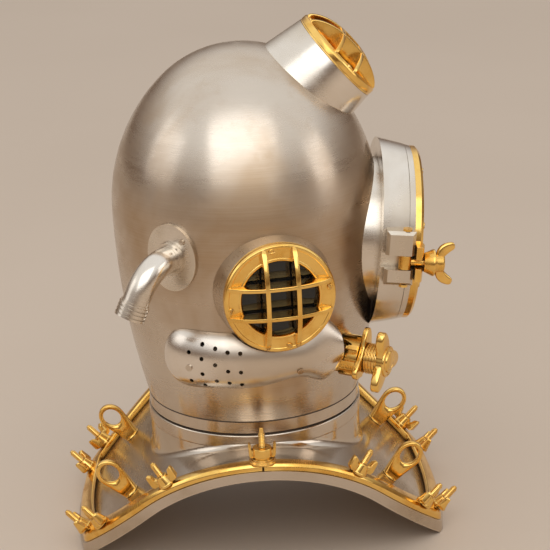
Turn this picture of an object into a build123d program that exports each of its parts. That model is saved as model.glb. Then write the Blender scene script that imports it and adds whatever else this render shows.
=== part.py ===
from build123d import *
import os
from math import asin, atan2, cos, degrees, radians, sin, sqrt, tan

os.makedirs("parts", exist_ok=True)

# Frame
# The origin is on the floor under the neck axis. +Z is up, -Y is the wearer's front
# and -X is the wearer's right hand side. All lengths are in millimetres.

# General
overrun = 5.0
seat_gap = 0.2
running_fit = 0.05
side_signs = (-1, 1)

# Breastplate
base_half_length = 181.0
base_half_width = 162.0
corner_x = 84.0
corner_y = 174.0
corner_round = 24.0
arch_crown = 111.0
arch_radius = 165.0
leg_angle = 42.75
rim_depth = 9.0
rim_width = 17.0
plate_wall = 3.5
neck_radius = 103.0
neck_fillet = 8.0
upstand_top = 114.0
upstand_wall = 4.0

# Brailes, studs and nuts
strap_margin = 1.5
strap_width = 14.5
strap_thickness = 6.5
strap_seam = 2.0
stud_radius = 3.2
stud_root = 6.0
stud_rise = 26.0
shoulder_stud_rise = 34.0
stud_tip = 1.0
stud_clearance = 0.4
mid_stud_y = 85.5
side_corner_stud_y = 150.0
end_corner_stud_x = 70.0

# Wing nuts
nut_foot_radius = 8.0
nut_foot_height = 2.0
nut_hub_base_radius = 7.4
nut_hub_top_radius = 5.4
nut_hub_height = 8.5
nut_wing_reach = 14.5
nut_wing_rise = 16.0
nut_wing_thickness = 5.0
shoulder_flange_radius = 12.5
shoulder_flange_height = 4.0
wing_shares = ((0.25, 0.13), (0.78, 0.13), (0.95, 0.3), (1.0, 0.92), (0.9, 1.0), (0.79, 0.93), (0.6, 0.6), (0.25, 0.55))
wing_turn_shares = (0.0, 0.06, -0.05, 0.04, -0.07, 0.05, -0.03, 0.07, -0.06, 0.03, 0.05, -0.04)

# Eyelets
eyelet_x = 68.0
eyelet_y = 125.0
eyelet_rise = 29.0
eyelet_ring_radius = 10.2
eyelet_wire_radius = 2.4
eyelet_stem_radius = 3.4
eyelet_neck_radius = 4.6
eyelet_shank_radius = 6.6
eyelet_foot_radius = 8.0
eyelet_foot_height = 2.0

# Neck joint
ring_seat_top = 121.5
gasket_height = 2.2
gasket_inset = 2.0
neck_bore_radius = 90.0
collar_radius = 95.2
collar_top = 133.5
lug_count = 4
lug_angle = 39.0
lug_reach = 2.8
male_lug_height = 4.5
female_lug_height = 4.4
lug_slack = 0.4
ring_bore_radius = 98.4
ring_lug_radius = 95.6
helmet_ring_top = 136.0
spigot_wall = 4.0
spigot_rise = 7.0
skirt_drop = 10.0
joint_chamfer = 0.8

# Bonnet
bonnet_radius = 127.0
bonnet_widest_z = 322.0
bonnet_rise = 152.5
crown_radius = 108.0
bonnet_wall = 3.0

# Side and top ports
side_port_azimuth = 81.0
side_port_z = 273.0
side_port_reach = 141.0
side_bezel_radius = 51.5
side_opening_radius = 35.0
side_bar_offset = 14.0
top_port_tilt = 40.0
top_port_z = 381.0
top_port_reach = 117.5
top_bezel_radius = 47.5
top_opening_radius = 32.5
top_bar_offset = 12.5
port_collar_depth = 40.0
port_collar_flare = 5.5
port_glass_lap = 5.5
port_glass_thickness = 6.0
port_gasket_thickness = 2.0
port_gasket_slack = 0.3
port_bezel_thickness = 8.0
port_bezel_chamfer = 2.0
port_lip = 1.5
bar_thickness = 3.8
bar_crown = 16.0
bar_foot = 4.5
bar_end_inset = 3.0
bar_end_rise = 3.0
port_screw_count = 4
port_screw_turn = 8.0
screw_head_radius = 2.6
screw_head_height = 1.6
screw_shank_radius = 1.5
screw_length = 14.0

# Front port
door_tilt = -6.0
door_pivot_z = 297.0
door_ring_back = 121.0
door_ring_front = 146.0
door_ring_back_radius = 90.0
door_ring_front_radius = 85.0
door_neck_radius = 71.0
door_neck_depth = 45.0
door_bore_radius = 62.0
door_frame_thickness = 5.5
door_frame_front_radius = 83.5
door_bezel_radius = 83.0
door_bezel_thickness = 8.0
door_bezel_chamfer = 2.5
door_opening_radius = 58.0
door_glass_radius = 66.0
door_glass_thickness = 7.5
door_gasket_inner_radius = 64.0
door_gasket_outer_radius = 72.0
door_gasket_thickness = 2.4
door_gasket_groove = 2.0
door_gap = 0.4
door_lip = 2.0
door_screw_count = 8
door_screw_circle = 75.0
door_screw_turn = 22.5
door_screw_head_radius = 3.2
door_screw_length = 12.0

# Swing bolt and its ears on the front port
ear_reach = 97.0
ear_root = 78.0
ear_back = 124.0
ear_front = 151.0
ear_upper = 30.0
ear_lower = 22.0
ear_slot = 14.0
ear_bevel = 3.0
bolt_pivot_x = 91.0
bolt_pivot_reach = 143.0
bolt_radius = 3.6
bolt_eye_radius = 6.0
bolt_slack = 0.3
bolt_end_reach = 178.0
pin_radius = 2.5
pin_head_radius = 4.2
pin_head_height = 2.2
fork_root = 76.0
fork_reach = 100.0
fork_half_height = 17.0
fork_slot = 8.6

# Door nut
door_nut_foot_radius = 8.6
door_nut_cone_radius = 12.5
door_nut_cone_height = 10.0
door_nut_hub_radius = 9.0
door_nut_hub_height = 19.0
door_nut_wing_reach = 20.5
door_nut_wing_rise = 30.0
door_nut_wing_thickness = 6.0
door_wing_shares = ((0.3, 0.4), (0.62, 0.52), (0.94, 0.8), (1.0, 0.93), (0.86, 1.0), (0.7, 0.93), (0.42, 0.66), (0.3, 0.63))

# Hinge of the front port
hinge_x = 97.0
hinge_reach = 149.0
hinge_radius = 6.5
hinge_pin_radius = 3.0
hinge_half_height = 24.0
hinge_knuckle_half_height = 11.0
hinge_slack = 0.3
hinge_pin_head_radius = 4.6
hinge_arm_thickness = 7.0

# Goosenecks
gooseneck_azimuth = 124.5
gooseneck_z = 304.0
gooseneck_flange_half_height = 32.0
gooseneck_flange_half_width = 26.0
gooseneck_flange_thickness = 4.0
gooseneck_radius = 12.6
gooseneck_bore_radius = 9.0
gooseneck_lead = 16.0
gooseneck_bend_radius = 33.0
gooseneck_tail = 24.0
gooseneck_lean = 36.0
gooseneck_drop = 63.5
gooseneck_collar_radius = 14.2
gooseneck_collar_length = 15.0
gooseneck_root_radius = 15.5
gooseneck_root_length = 5.0
thread_groove_count = 3
thread_groove_pitch = 3.6
thread_groove_width = 1.4
thread_groove_depth = 1.0
flange_screw_share = 0.76
flange_screw_angle = 45.0
check_valve_length = 10.0
check_valve_wall = 2.5
check_flap_thickness = 1.5

# Exhaust channel
channel_z = 205.0
channel_azimuths = (133.5, 131.5, 126.0, 115.0, 100.0, 85.0, 70.0, 52.0)
channel_height = 29.0
channel_depth = 18.0
channel_height_shares = (0.3, 0.62, 0.93, 1.0, 0.97, 0.88, 0.78, 0.72)
channel_depth_shares = (0.25, 0.55, 0.86, 1.0, 1.0, 0.95, 0.9, 0.88)
channel_wall = 2.2
channel_hole_radius = 2.0
channel_hole_rises = {
    96.5: (12.0, -6.0, -20.0),
    101.5: (13.0, -5.0, -18.0),
    106.5: (16.0, 1.0, -16.0),
    112.0: (19.0, 6.0, -9.0, -22.0),
    117.5: (11.0, -18.0),
}
channel_screw_rises = {117.5: -4.0, 72.5: -12.0}
channel_screw_radius = 3.2
channel_screw_height = 1.4

# Exhaust valve
valve_base = (-83.0, -84.0, 191.0)
valve_azimuth = 27.0
valve_tilt = -3.5
valve_body_radius = 17.5
valve_body_length = 18.0
valve_inset = 30.0
valve_shank_radius = 13.5
valve_shank_length = 14.0
valve_rib_count = 8
valve_rib_width = 4.0
valve_rib_height = 2.6
valve_star_thickness = 5.0
valve_sleeve_radius = 13.5
valve_sleeve_length = 12.0
valve_ridge_count = 4
valve_ridge_depth = 1.1
valve_ridge_width = 1.2
valve_chamber_radius = 14.5
valve_duct_radius = 11.0
valve_seat_height = 4.0
valve_wheel_thickness = 8.0
valve_hub_radius = 15.0
valve_hub_height = 3.5
valve_hub_step = 2.5
valve_spigot_radius = 8.0
star_tip_radius = 32.0
star_rear_tip_radius = 29.0
star_waist_radius = 14.0
star_tip_round = 3.5
star_points = 3
star_turn = 105.0
star_rear_turn = 80.0
disc_radius = 13.0
disc_thickness = 2.5
disc_travel = 5.0
stem_radius = 2.5
stem_tip = 12.5
guide_radius = 5.0
guide_length = 6.0
guide_arm_width = 3.0
chin_button_radius = 13.0
chin_button_thickness = 4.0
chin_button_reach = 44.0
disc_gap = 0.3
valve_mouth_radius = 8.0
valve_mouth_length = 24.0
spring_radius = 7.6
spring_wall = 1.6

# Spitcock on the wearer's left
spitcock_azimuth = -56.0
spitcock_z = 196.0
spitcock_radius = 9.0
spitcock_length = 24.0
spitcock_flange_radius = 12.0
spitcock_bore_radius = 3.0
spitcock_plug_radius = 5.0
spitcock_plug_rise = 7.0
spitcock_lever_length = 30.0
spitcock_lever_thickness = 3.5
spitcock_lever_width = 7.0

# Places worked out from the sizes above
arch_centre_z = arch_crown - arch_radius
leg_slope = tan(radians(leg_angle))
side_curve = (corner_y**2 + (base_half_width - corner_x) ** 2) / (2 * (base_half_width - corner_x))
end_curve = (corner_x**2 + (base_half_length - corner_y) ** 2) / (2 * (base_half_length - corner_y))
strap_middle = strap_margin + strap_width / 2


def arch_height(y):
    """Height of the plate's outer surface at the distance y in front of or behind the neck."""
    turn = arch_radius * sin(radians(leg_angle))
    if abs(y) <= turn:
        return arch_centre_z + sqrt(arch_radius**2 - y**2)
    return arch_centre_z + arch_radius * cos(radians(leg_angle)) - (abs(y) - turn) * leg_slope


def arch_normal(y):
    """Direction square to the plate's outer surface at the distance y."""
    angle = min(asin(min(abs(y) / arch_radius, 1)), radians(leg_angle))
    return Vector(0, sin(angle) * (1 if y > 0 else -1), cos(angle))


def plate_seat(x, y, along):
    """Plane on the plate's outer surface at x and y, its own X turned towards along."""
    normal = arch_normal(y)
    flat = along - normal * along.dot(normal)
    return Plane(origin=(x, y, arch_height(y)), x_dir=flat.normalized(), z_dir=normal)


def under_arch(lift):
    """Everything under the arch surface raised by lift, down to the floor."""
    radius = arch_radius + lift
    foot = radius * sin(radians(leg_angle))
    toe = foot + (arch_centre_z + radius * cos(radians(leg_angle))) / leg_slope
    with BuildPart() as block:
        with BuildSketch(Plane.YZ):
            with BuildLine():
                crown = CenterArc((0, arch_centre_z), radius, 90 - leg_angle, 2 * leg_angle)
                Line(crown @ 0, (toe, 0))
                Line((toe, 0), (-toe, 0))
                Line((-toe, 0), crown @ 1)
            make_face()
        extrude(amount=base_half_width + overrun, both=True)
    return block.part


def plan_prism(inset):
    """The breastplate's plan, drawn in by inset, as a prism taller than the arch."""
    with BuildPart() as block:
        with BuildSketch() as plan:
            with Locations((base_half_width - side_curve, 0)):
                Circle(side_curve - inset)
            with Locations((side_curve - base_half_width, 0)):
                Circle(side_curve - inset, mode=Mode.INTERSECT)
            with Locations((0, base_half_length - end_curve)):
                Circle(end_curve - inset, mode=Mode.INTERSECT)
            with Locations((0, end_curve - base_half_length)):
                Circle(end_curve - inset, mode=Mode.INTERSECT)
            fillet(plan.vertices().filter_by(lambda v: abs(v.Y) > mid_stud_y), corner_round - inset)
        extrude(amount=collar_top)
    return block.part


def bonnet_solid(inset):
    """The bonnet's outer shape as a full solid of revolution, drawn in by inset."""
    waist = ((bonnet_widest_z - helmet_ring_top) ** 2 + (bonnet_radius - neck_radius) ** 2) / (
        2 * (bonnet_radius - neck_radius)
    )
    lift = bonnet_rise - crown_radius
    flank = (bonnet_radius**2 + lift**2 - crown_radius**2) / (2 * (bonnet_radius - crown_radius))
    foot_angle = degrees(asin((bonnet_widest_z - helmet_ring_top) / (waist - inset)))
    turn = degrees(atan2(lift, flank - bonnet_radius))
    with BuildPart() as block:
        with BuildSketch(Plane.XZ):
            with BuildLine():
                low = CenterArc((bonnet_radius - waist, bonnet_widest_z), waist - inset, -foot_angle, foot_angle)
                CenterArc((bonnet_radius - flank, bonnet_widest_z), flank - inset, 0, turn)
                high = CenterArc((0, bonnet_widest_z + lift), crown_radius - inset, turn, 90 - turn)
                Line(high @ 1, (0, helmet_ring_top))
                Line((0, helmet_ring_top), low @ 0)
            make_face()
        revolve(axis=Axis.Z)
    return block.part


def outward_plane(azimuth, tilt, pivot_z, reach):
    """Plane square to an axis that leaves the neck axis at pivot_z.

    Azimuth turns from the front towards the wearer's right, and tilt rises from level.
    """
    a = radians(azimuth)
    t = radians(tilt)
    out = Vector(-sin(a) * cos(t), -cos(a) * cos(t), sin(t))
    level = Vector(0, 0, 1).cross(out).normalized()
    return Plane(origin=Vector(0, 0, pivot_z) + out * reach, x_dir=level, z_dir=out)


def bonnet_surface_radius(z):
    """Radius of the bonnet's outer surface below its widest height."""
    waist = ((bonnet_widest_z - helmet_ring_top) ** 2 + (bonnet_radius - neck_radius) ** 2) / (
        2 * (bonnet_radius - neck_radius)
    )
    return bonnet_radius - waist + sqrt(waist**2 - (bonnet_widest_z - z) ** 2)


def wing_nut(bore, foot, hub, wing, shares, flange):
    """A wing nut standing on its own XY plane, its wings along its own X.

    foot, hub and flange are (radius, height) or (base radius, top radius, height), and
    wing is (reach, rise, thickness).
    """
    reach, rise, thickness = wing
    with BuildPart() as nut:
        if flange:
            Cylinder(flange[0], flange[1], align=(Align.CENTER, Align.CENTER, Align.MIN))
        lift = flange[1] if flange else 0
        with Locations((0, 0, lift)):
            Cylinder(foot[0], foot[1], align=(Align.CENTER, Align.CENTER, Align.MIN))
        with Locations((0, 0, lift + foot[1])):
            Cone(hub[0], hub[1], hub[2], align=(Align.CENTER, Align.CENTER, Align.MIN))
        with BuildSketch(Plane.XZ):
            for side in side_signs:
                with BuildLine():
                    points = [(side * reach * x, lift + rise * z) for x, z in shares]
                    Polyline(*points, close=True)
                make_face()
        extrude(amount=thickness / 2, both=True)
        fillet(nut.edges().group_by(Axis.Z)[-1], thickness / 4)
        Cylinder(bore, 4 * rise, mode=Mode.SUBTRACT)
    return nut.part


# Seats of the studs, in quarters round the rim
def side_line_x(y):
    """Where the strap's middle line runs along the shoulder side, at the distance y."""
    return base_half_width - side_curve + sqrt((side_curve - strap_middle) ** 2 - y**2)


def end_line_y(x):
    """Where the strap's middle line runs along the front or back, at the distance x."""
    return base_half_length - end_curve + sqrt((end_curve - strap_middle) ** 2 - x**2)


shoulder_seats = []
plain_seats = []
for side in side_signs:
    shoulder_seats.append(plate_seat(side * side_line_x(0), 0, Vector(0, 1, 0)))
    for end in side_signs:
        for reach in (mid_stud_y, side_corner_stud_y):
            x = side_line_x(reach)
            along = Vector(-side * reach, end * (x - base_half_width + side_curve), 0)
            plain_seats.append(plate_seat(side * x, end * reach, along))
        y = end_line_y(end_corner_stud_x)
        plain_seats.append(plate_seat(side * end_corner_stud_x, end * y, Vector(1, 0, 0)))

# Studs
with BuildPart() as studs:
    for seat in plain_seats:
        with Locations(seat.offset(-stud_root).location):
            Cylinder(
                stud_radius,
                stud_root + strap_thickness + stud_rise,
                align=(Align.CENTER, Align.CENTER, Align.MIN),
            )
    for seat in shoulder_seats:
        with Locations(seat.offset(-stud_root).location):
            Cylinder(
                stud_radius,
                stud_root + strap_thickness + shoulder_stud_rise,
                align=(Align.CENTER, Align.CENTER, Align.MIN),
            )
    for stud in studs.solids():
        tip = stud.faces().filter_by(GeomType.PLANE).sort_by(Axis.Z)[-1]
        chamfer(tip.edges(), stud_tip)
studs.part.label = "studs"
export_step(studs.part, "parts/studs.step")

# Eyelets
eyelet_seats = [
    plate_seat(side * eyelet_x, end * eyelet_y, Vector(1, 0, 0)) for side in side_signs for end in side_signs
]
with BuildPart() as eyelets:
    for seat in eyelet_seats:
        with Locations(seat.offset(-stud_root / 2).location):
            Cylinder(
                eyelet_stem_radius,
                stud_root,
                align=(Align.CENTER, Align.CENTER, Align.MIN),
            )
        with Locations(seat.offset(seat_gap).location):
            Cylinder(
                eyelet_foot_radius,
                eyelet_foot_height,
                align=(Align.CENTER, Align.CENTER, Align.MIN),
            )
            Cone(
                eyelet_shank_radius,
                eyelet_neck_radius,
                eyelet_rise - eyelet_ring_radius - seat_gap,
                align=(Align.CENTER, Align.CENTER, Align.MIN),
            )
        with Locations(seat.offset(eyelet_rise).location):
            Torus(eyelet_ring_radius, eyelet_wire_radius, rotation=(0, 90, 0))
eyelets.part.label = "eyelets"
export_step(eyelets.part, "parts/eyelets.step")

# Breastplate shell
with BuildPart() as breastplate:
    add(plan_prism(0))
    add(under_arch(0), mode=Mode.INTERSECT)
    Cylinder(neck_radius, upstand_top, align=(Align.CENTER, Align.CENTER, Align.MIN))
    junction = breastplate.edges().filter_by(
        lambda e: abs(sqrt((e @ 0.4).X ** 2 + (e @ 0.4).Y ** 2) - neck_radius) < seat_gap
        and (e @ 0.4).Z < upstand_top - seat_gap
        and e.geom_type != GeomType.LINE
    )
    fillet(junction, neck_fillet)
    add(under_arch(-rim_depth), mode=Mode.SUBTRACT)
    with BuildPart(mode=Mode.PRIVATE) as hollow:
        add(plan_prism(rim_width))
        add(under_arch(-plate_wall), mode=Mode.INTERSECT)
    add(hollow.part, mode=Mode.SUBTRACT)
    Cylinder(neck_radius - upstand_wall, 2 * upstand_top, mode=Mode.SUBTRACT)
    add(studs.part, mode=Mode.SUBTRACT)
    add(eyelets.part, mode=Mode.SUBTRACT)
breastplate.part.label = "breastplate"
export_step(breastplate.part, "parts/breastplate.step")

# Brailes, the straps that clamp the suit's collar to the rim
strap_tools = {"back_braile": Keep.BOTTOM, "front_braile": Keep.TOP}
for label, kept in strap_tools.items():
    shift = -strap_seam / 2 if kept == Keep.BOTTOM else strap_seam / 2
    with BuildPart() as braile:
        add(plan_prism(strap_margin))
        add(plan_prism(strap_margin + strap_width), mode=Mode.SUBTRACT)
        add(under_arch(strap_thickness), mode=Mode.INTERSECT)
        add(under_arch(0), mode=Mode.SUBTRACT)
        split(bisect_by=Plane.XZ.offset(shift), keep=kept)
        for seat in plain_seats + shoulder_seats:
            with Locations(seat.location):
                Cylinder(stud_radius + stud_clearance, 4 * strap_thickness, mode=Mode.SUBTRACT)
    braile.part.label = label
    export_step(braile.part, f"parts/{label}.step")

# Wing nuts
plain_nut = wing_nut(
    stud_radius + running_fit,
    (nut_foot_radius, nut_foot_height),
    (nut_hub_base_radius, nut_hub_top_radius, nut_hub_height),
    (nut_wing_reach, nut_wing_rise, nut_wing_thickness),
    wing_shares,
    None,
)
shoulder_nut = wing_nut(
    stud_radius + running_fit,
    (nut_foot_radius, nut_foot_height),
    (nut_hub_base_radius, nut_hub_top_radius, nut_hub_height),
    (nut_wing_reach, nut_wing_rise, nut_wing_thickness),
    wing_shares,
    (shoulder_flange_radius, shoulder_flange_height),
)
for index, seat in enumerate(plain_seats):
    with BuildPart() as nut:
        with Locations(seat.offset(strap_thickness + seat_gap).location * Rotation(0, 0, 180 * wing_turn_shares[index])):
            add(plain_nut)
    nut.part.label = f"wing_nut_{index + 1:02d}"
    export_step(nut.part, f"parts/wing_nut_{index + 1:02d}.step")
for label, seat in zip(("right_shoulder_nut", "left_shoulder_nut"), shoulder_seats):
    with BuildPart() as nut:
        with Locations(seat.offset(strap_thickness + seat_gap).location):
            add(shoulder_nut)
    nut.part.label = label
    export_step(nut.part, f"parts/{label}.step")


def lug_ring(inner, outer, bottom, height):
    """Four lugs of an interrupted thread, as sectors of a ring."""
    spread = 2 * outer * tan(radians(lug_angle / 2))
    with BuildPart() as ring:
        with BuildSketch(Plane.XY.offset(bottom)):
            with PolarLocations(0, lug_count):
                Polygon((0, 0), (2 * outer, spread), (2 * outer, -spread), align=None)
            Circle(outer, mode=Mode.INTERSECT)
            Circle(inner, mode=Mode.SUBTRACT)
        extrude(amount=height)
    return ring.part


# Neck ring of the breastplate, with its half of the interrupted thread
with BuildPart() as lower_ring:
    with BuildSketch(Plane.XY.offset(upstand_top)):
        Circle(neck_radius)
    extrude(amount=ring_seat_top - upstand_top)
    with BuildSketch(Plane.XY.offset(upstand_top - skirt_drop)):
        Circle(neck_radius - upstand_wall)
    extrude(amount=skirt_drop)
    with BuildSketch(Plane.XY.offset(ring_seat_top)):
        Circle(collar_radius)
    extrude(amount=collar_top - ring_seat_top)
    Cylinder(neck_bore_radius, 2 * collar_top, mode=Mode.SUBTRACT)
    add(lug_ring(collar_radius - spigot_wall / 2, collar_radius + lug_reach, collar_top - male_lug_height, male_lug_height))
lower_ring.part.label = "breastplate_neck_ring"
export_step(lower_ring.part, "parts/breastplate_neck_ring.step")

with BuildPart() as neck_gasket:
    with BuildSketch(Plane.XY.offset(ring_seat_top)):
        Circle(neck_radius - gasket_inset)
        Circle(ring_bore_radius - gasket_inset, mode=Mode.SUBTRACT)
    extrude(amount=gasket_height)
neck_gasket.part.label = "neck_gasket"
export_step(neck_gasket.part, "parts/neck_gasket.step")

# Neck ring of the bonnet, with the other half
helmet_ring_bottom = ring_seat_top + gasket_height + seat_gap
female_lug_bottom = collar_top - male_lug_height - lug_slack - female_lug_height
with BuildPart() as upper_ring:
    with BuildSketch(Plane.XY.offset(helmet_ring_bottom)):
        Circle(neck_radius)
    extrude(amount=helmet_ring_top - helmet_ring_bottom)
    with BuildSketch(Plane.XY.offset(helmet_ring_top)):
        Circle(neck_radius - bonnet_wall - seat_gap)
    extrude(amount=spigot_rise)
    with BuildSketch(Plane.XY.offset(helmet_ring_bottom)):
        Circle(ring_bore_radius)
    extrude(amount=collar_top + lug_slack - helmet_ring_bottom, mode=Mode.SUBTRACT)
    Cylinder(neck_radius - bonnet_wall - seat_gap - spigot_wall, 2 * helmet_ring_top, mode=Mode.SUBTRACT)
    Cylinder(
        neck_radius - bonnet_wall - seat_gap - spigot_wall,
        helmet_ring_top + spigot_rise + overrun,
        align=(Align.CENTER, Align.CENTER, Align.MIN),
        mode=Mode.SUBTRACT,
    )
    add(lug_ring(ring_lug_radius, neck_radius - bonnet_wall, female_lug_bottom, female_lug_height))
    rim = upper_ring.edges().filter_by(GeomType.CIRCLE).filter_by(
        lambda e: abs(e.radius - neck_radius) < seat_gap and e.center().Z > helmet_ring_top - seat_gap
    )
    chamfer(rim, joint_chamfer)
upper_ring.part.label = "bonnet_neck_ring"
export_step(upper_ring.part, "parts/bonnet_neck_ring.step")

# Planes of the ports, the goosenecks, the exhaust valve and the spitcock
right_port_plane = outward_plane(side_port_azimuth, 0, side_port_z, side_port_reach)
left_port_plane = outward_plane(-side_port_azimuth, 0, side_port_z, side_port_reach)
top_port_plane = outward_plane(0, top_port_tilt, top_port_z, top_port_reach)
door_plane = outward_plane(0, door_tilt, door_pivot_z, 0)
gooseneck_planes = {
    "air": outward_plane(gooseneck_azimuth, 0, gooseneck_z, bonnet_surface_radius(gooseneck_z)),
    "telephone": outward_plane(-gooseneck_azimuth, 0, gooseneck_z, bonnet_surface_radius(gooseneck_z)),
}
valve_out = outward_plane(valve_azimuth, valve_tilt, 0, 0)
valve_plane = Plane(origin=valve_base, x_dir=valve_out.x_dir, z_dir=valve_out.z_dir)
spitcock_plane = outward_plane(spitcock_azimuth, 0, spitcock_z, bonnet_surface_radius(spitcock_z))
port_settings = {
    "right": (right_port_plane, side_bezel_radius, side_opening_radius, side_bar_offset),
    "left": (left_port_plane, side_bezel_radius, side_opening_radius, side_bar_offset),
    "top": (top_port_plane, top_bezel_radius, top_opening_radius, top_bar_offset),
}
bonnet_outside = bonnet_solid(0)

# Bonnet shell
with BuildPart() as bonnet:
    add(bonnet_outside)
    add(bonnet_solid(bonnet_wall), mode=Mode.SUBTRACT)
    for plane, bezel, opening, offset_x in port_settings.values():
        with Locations(plane.location):
            Cylinder(opening + port_lip, 2 * port_collar_depth + overrun, mode=Mode.SUBTRACT)
    with Locations(door_plane.location):
        Cylinder(
            door_bore_radius,
            door_ring_front,
            align=(Align.CENTER, Align.CENTER, Align.MIN),
            mode=Mode.SUBTRACT,
        )
    for plane in gooseneck_planes.values():
        with Locations(plane.location):
            Cylinder(gooseneck_bore_radius, 4 * gooseneck_bore_radius, mode=Mode.SUBTRACT)
    with Locations(valve_plane.location):
        Cylinder(valve_shank_radius, 4 * valve_shank_length, mode=Mode.SUBTRACT)
    with Locations(spitcock_plane.location):
        Cylinder(spitcock_bore_radius, 4 * spitcock_radius, mode=Mode.SUBTRACT)
bonnet.part.label = "bonnet"
export_step(bonnet.part, "parts/bonnet.step")


# Side and top ports
port_screw_sets = []
for name, (plane, bezel_radius, opening_radius, bar_offset) in port_settings.items():
    glass_radius = opening_radius + port_glass_lap
    rebate = port_glass_thickness + port_gasket_thickness
    screw_circle = (bezel_radius + glass_radius) / 2
    with BuildPart() as core:
        with Locations(plane.offset(-port_collar_depth).location):
            Cone(
                bezel_radius + port_collar_flare,
                bezel_radius,
                port_collar_depth,
                align=(Align.CENTER, Align.CENTER, Align.MIN),
            )
    with BuildPart() as screws:
        with Locations(plane.offset(port_bezel_thickness).location):
            with PolarLocations(screw_circle, port_screw_count, start_angle=port_screw_turn):
                Cylinder(
                    screw_shank_radius,
                    screw_length,
                    align=(Align.CENTER, Align.CENTER, Align.MAX),
                )
                Cylinder(
                    screw_head_radius,
                    screw_head_height,
                    align=(Align.CENTER, Align.CENTER, Align.MIN),
                )
    with BuildPart() as collar:
        add(core.part)
        with Locations(plane.location):
            Cylinder(opening_radius + port_lip, 2 * port_collar_depth + overrun, mode=Mode.SUBTRACT)
            Cylinder(glass_radius + port_gasket_slack, 2 * rebate, mode=Mode.SUBTRACT)
        add(bonnet_outside, mode=Mode.SUBTRACT)
        add(screws.part, mode=Mode.SUBTRACT)
    collar.part.label = f"{name}_port_collar"
    export_step(collar.part, f"parts/{name}_port_collar.step")
    with BuildPart() as gasket:
        with BuildSketch(plane.offset(-rebate)):
            Circle(glass_radius)
            Circle(opening_radius + port_lip, mode=Mode.SUBTRACT)
        extrude(amount=port_gasket_thickness)
    gasket.part.label = f"{name}_port_gasket"
    export_step(gasket.part, f"parts/{name}_port_gasket.step")
    with BuildPart() as glass:
        with BuildSketch(plane.offset(-port_glass_thickness)):
            Circle(glass_radius)
        extrude(amount=port_glass_thickness)
    glass.part.label = f"{name}_port_glass"
    export_step(glass.part, f"parts/{name}_port_glass.step")
    with BuildPart() as guard:
        with BuildSketch(plane):
            Circle(bezel_radius)
        extrude(amount=port_bezel_thickness)
        chamfer(guard.faces().sort_by(SortBy.AREA)[-1].edges(), port_bezel_chamfer / 4)
        with Locations(plane.location):
            Cylinder(opening_radius, 4 * port_bezel_thickness, mode=Mode.SUBTRACT)
        bar_reach = sqrt((bezel_radius - bar_end_inset) ** 2 - bar_offset**2)
        for lengthwise, across, outward in ((plane.x_dir, plane.y_dir, -1), (plane.y_dir, plane.x_dir, 1)):
            for side in side_signs:
                bar_plane = Plane(origin=plane.origin, x_dir=lengthwise, z_dir=across).offset(side * bar_offset)
                low = outward * bar_foot
                end = outward * (port_bezel_thickness + bar_end_rise)
                high = outward * (port_bezel_thickness + bar_crown)
                with BuildSketch(bar_plane):
                    with BuildLine():
                        ThreePointArc((-bar_reach, end), (0, high), (bar_reach, end))
                        Line((bar_reach, end), (bar_reach, low))
                        Line((bar_reach, low), (-bar_reach, low))
                        Line((-bar_reach, low), (-bar_reach, end))
                    make_face()
                extrude(amount=bar_thickness / 2, both=True)
        add(screws.part, mode=Mode.SUBTRACT)
    guard.part.label = f"{name}_port_guard"
    export_step(guard.part, f"parts/{name}_port_guard.step")
    port_screw_sets.append(screws.part)
with BuildPart() as port_screws:
    for screw_set in port_screw_sets:
        add(screw_set)
port_screws.part.label = "port_screws"
export_step(port_screws.part, "parts/port_screws.step")

# Front port: the fixed ring with the swing bolt's ears and the outer hinge knuckles
door_back = door_ring_front + door_gap
frame_front = door_back + door_frame_thickness
bezel_front = frame_front + door_bezel_thickness
glass_back = door_back + door_lip
slot_root = bolt_pivot_x - bolt_eye_radius - bolt_slack
pivot_plane = Plane(
    origin=door_plane.from_local_coords(Vector(-bolt_pivot_x, 0, bolt_pivot_reach)),
    x_dir=door_plane.z_dir,
    z_dir=door_plane.y_dir,
)
bolt_plane = Plane(origin=pivot_plane.origin, x_dir=door_plane.x_dir, z_dir=door_plane.z_dir)
hinge_plane = Plane(
    origin=door_plane.from_local_coords(Vector(hinge_x, 0, hinge_reach)),
    x_dir=door_plane.z_dir,
    z_dir=door_plane.y_dir,
)
with BuildPart() as door_screws:
    with Locations(door_plane.offset(bezel_front).location):
        with PolarLocations(door_screw_circle, door_screw_count, start_angle=door_screw_turn):
            Cylinder(screw_shank_radius, door_screw_length, align=(Align.CENTER, Align.CENTER, Align.MAX))
            Cylinder(
                door_screw_head_radius,
                screw_head_height,
                align=(Align.CENTER, Align.CENTER, Align.MIN),
            )
door_screws.part.label = "door_screws"
export_step(door_screws.part, "parts/door_screws.step")

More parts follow.
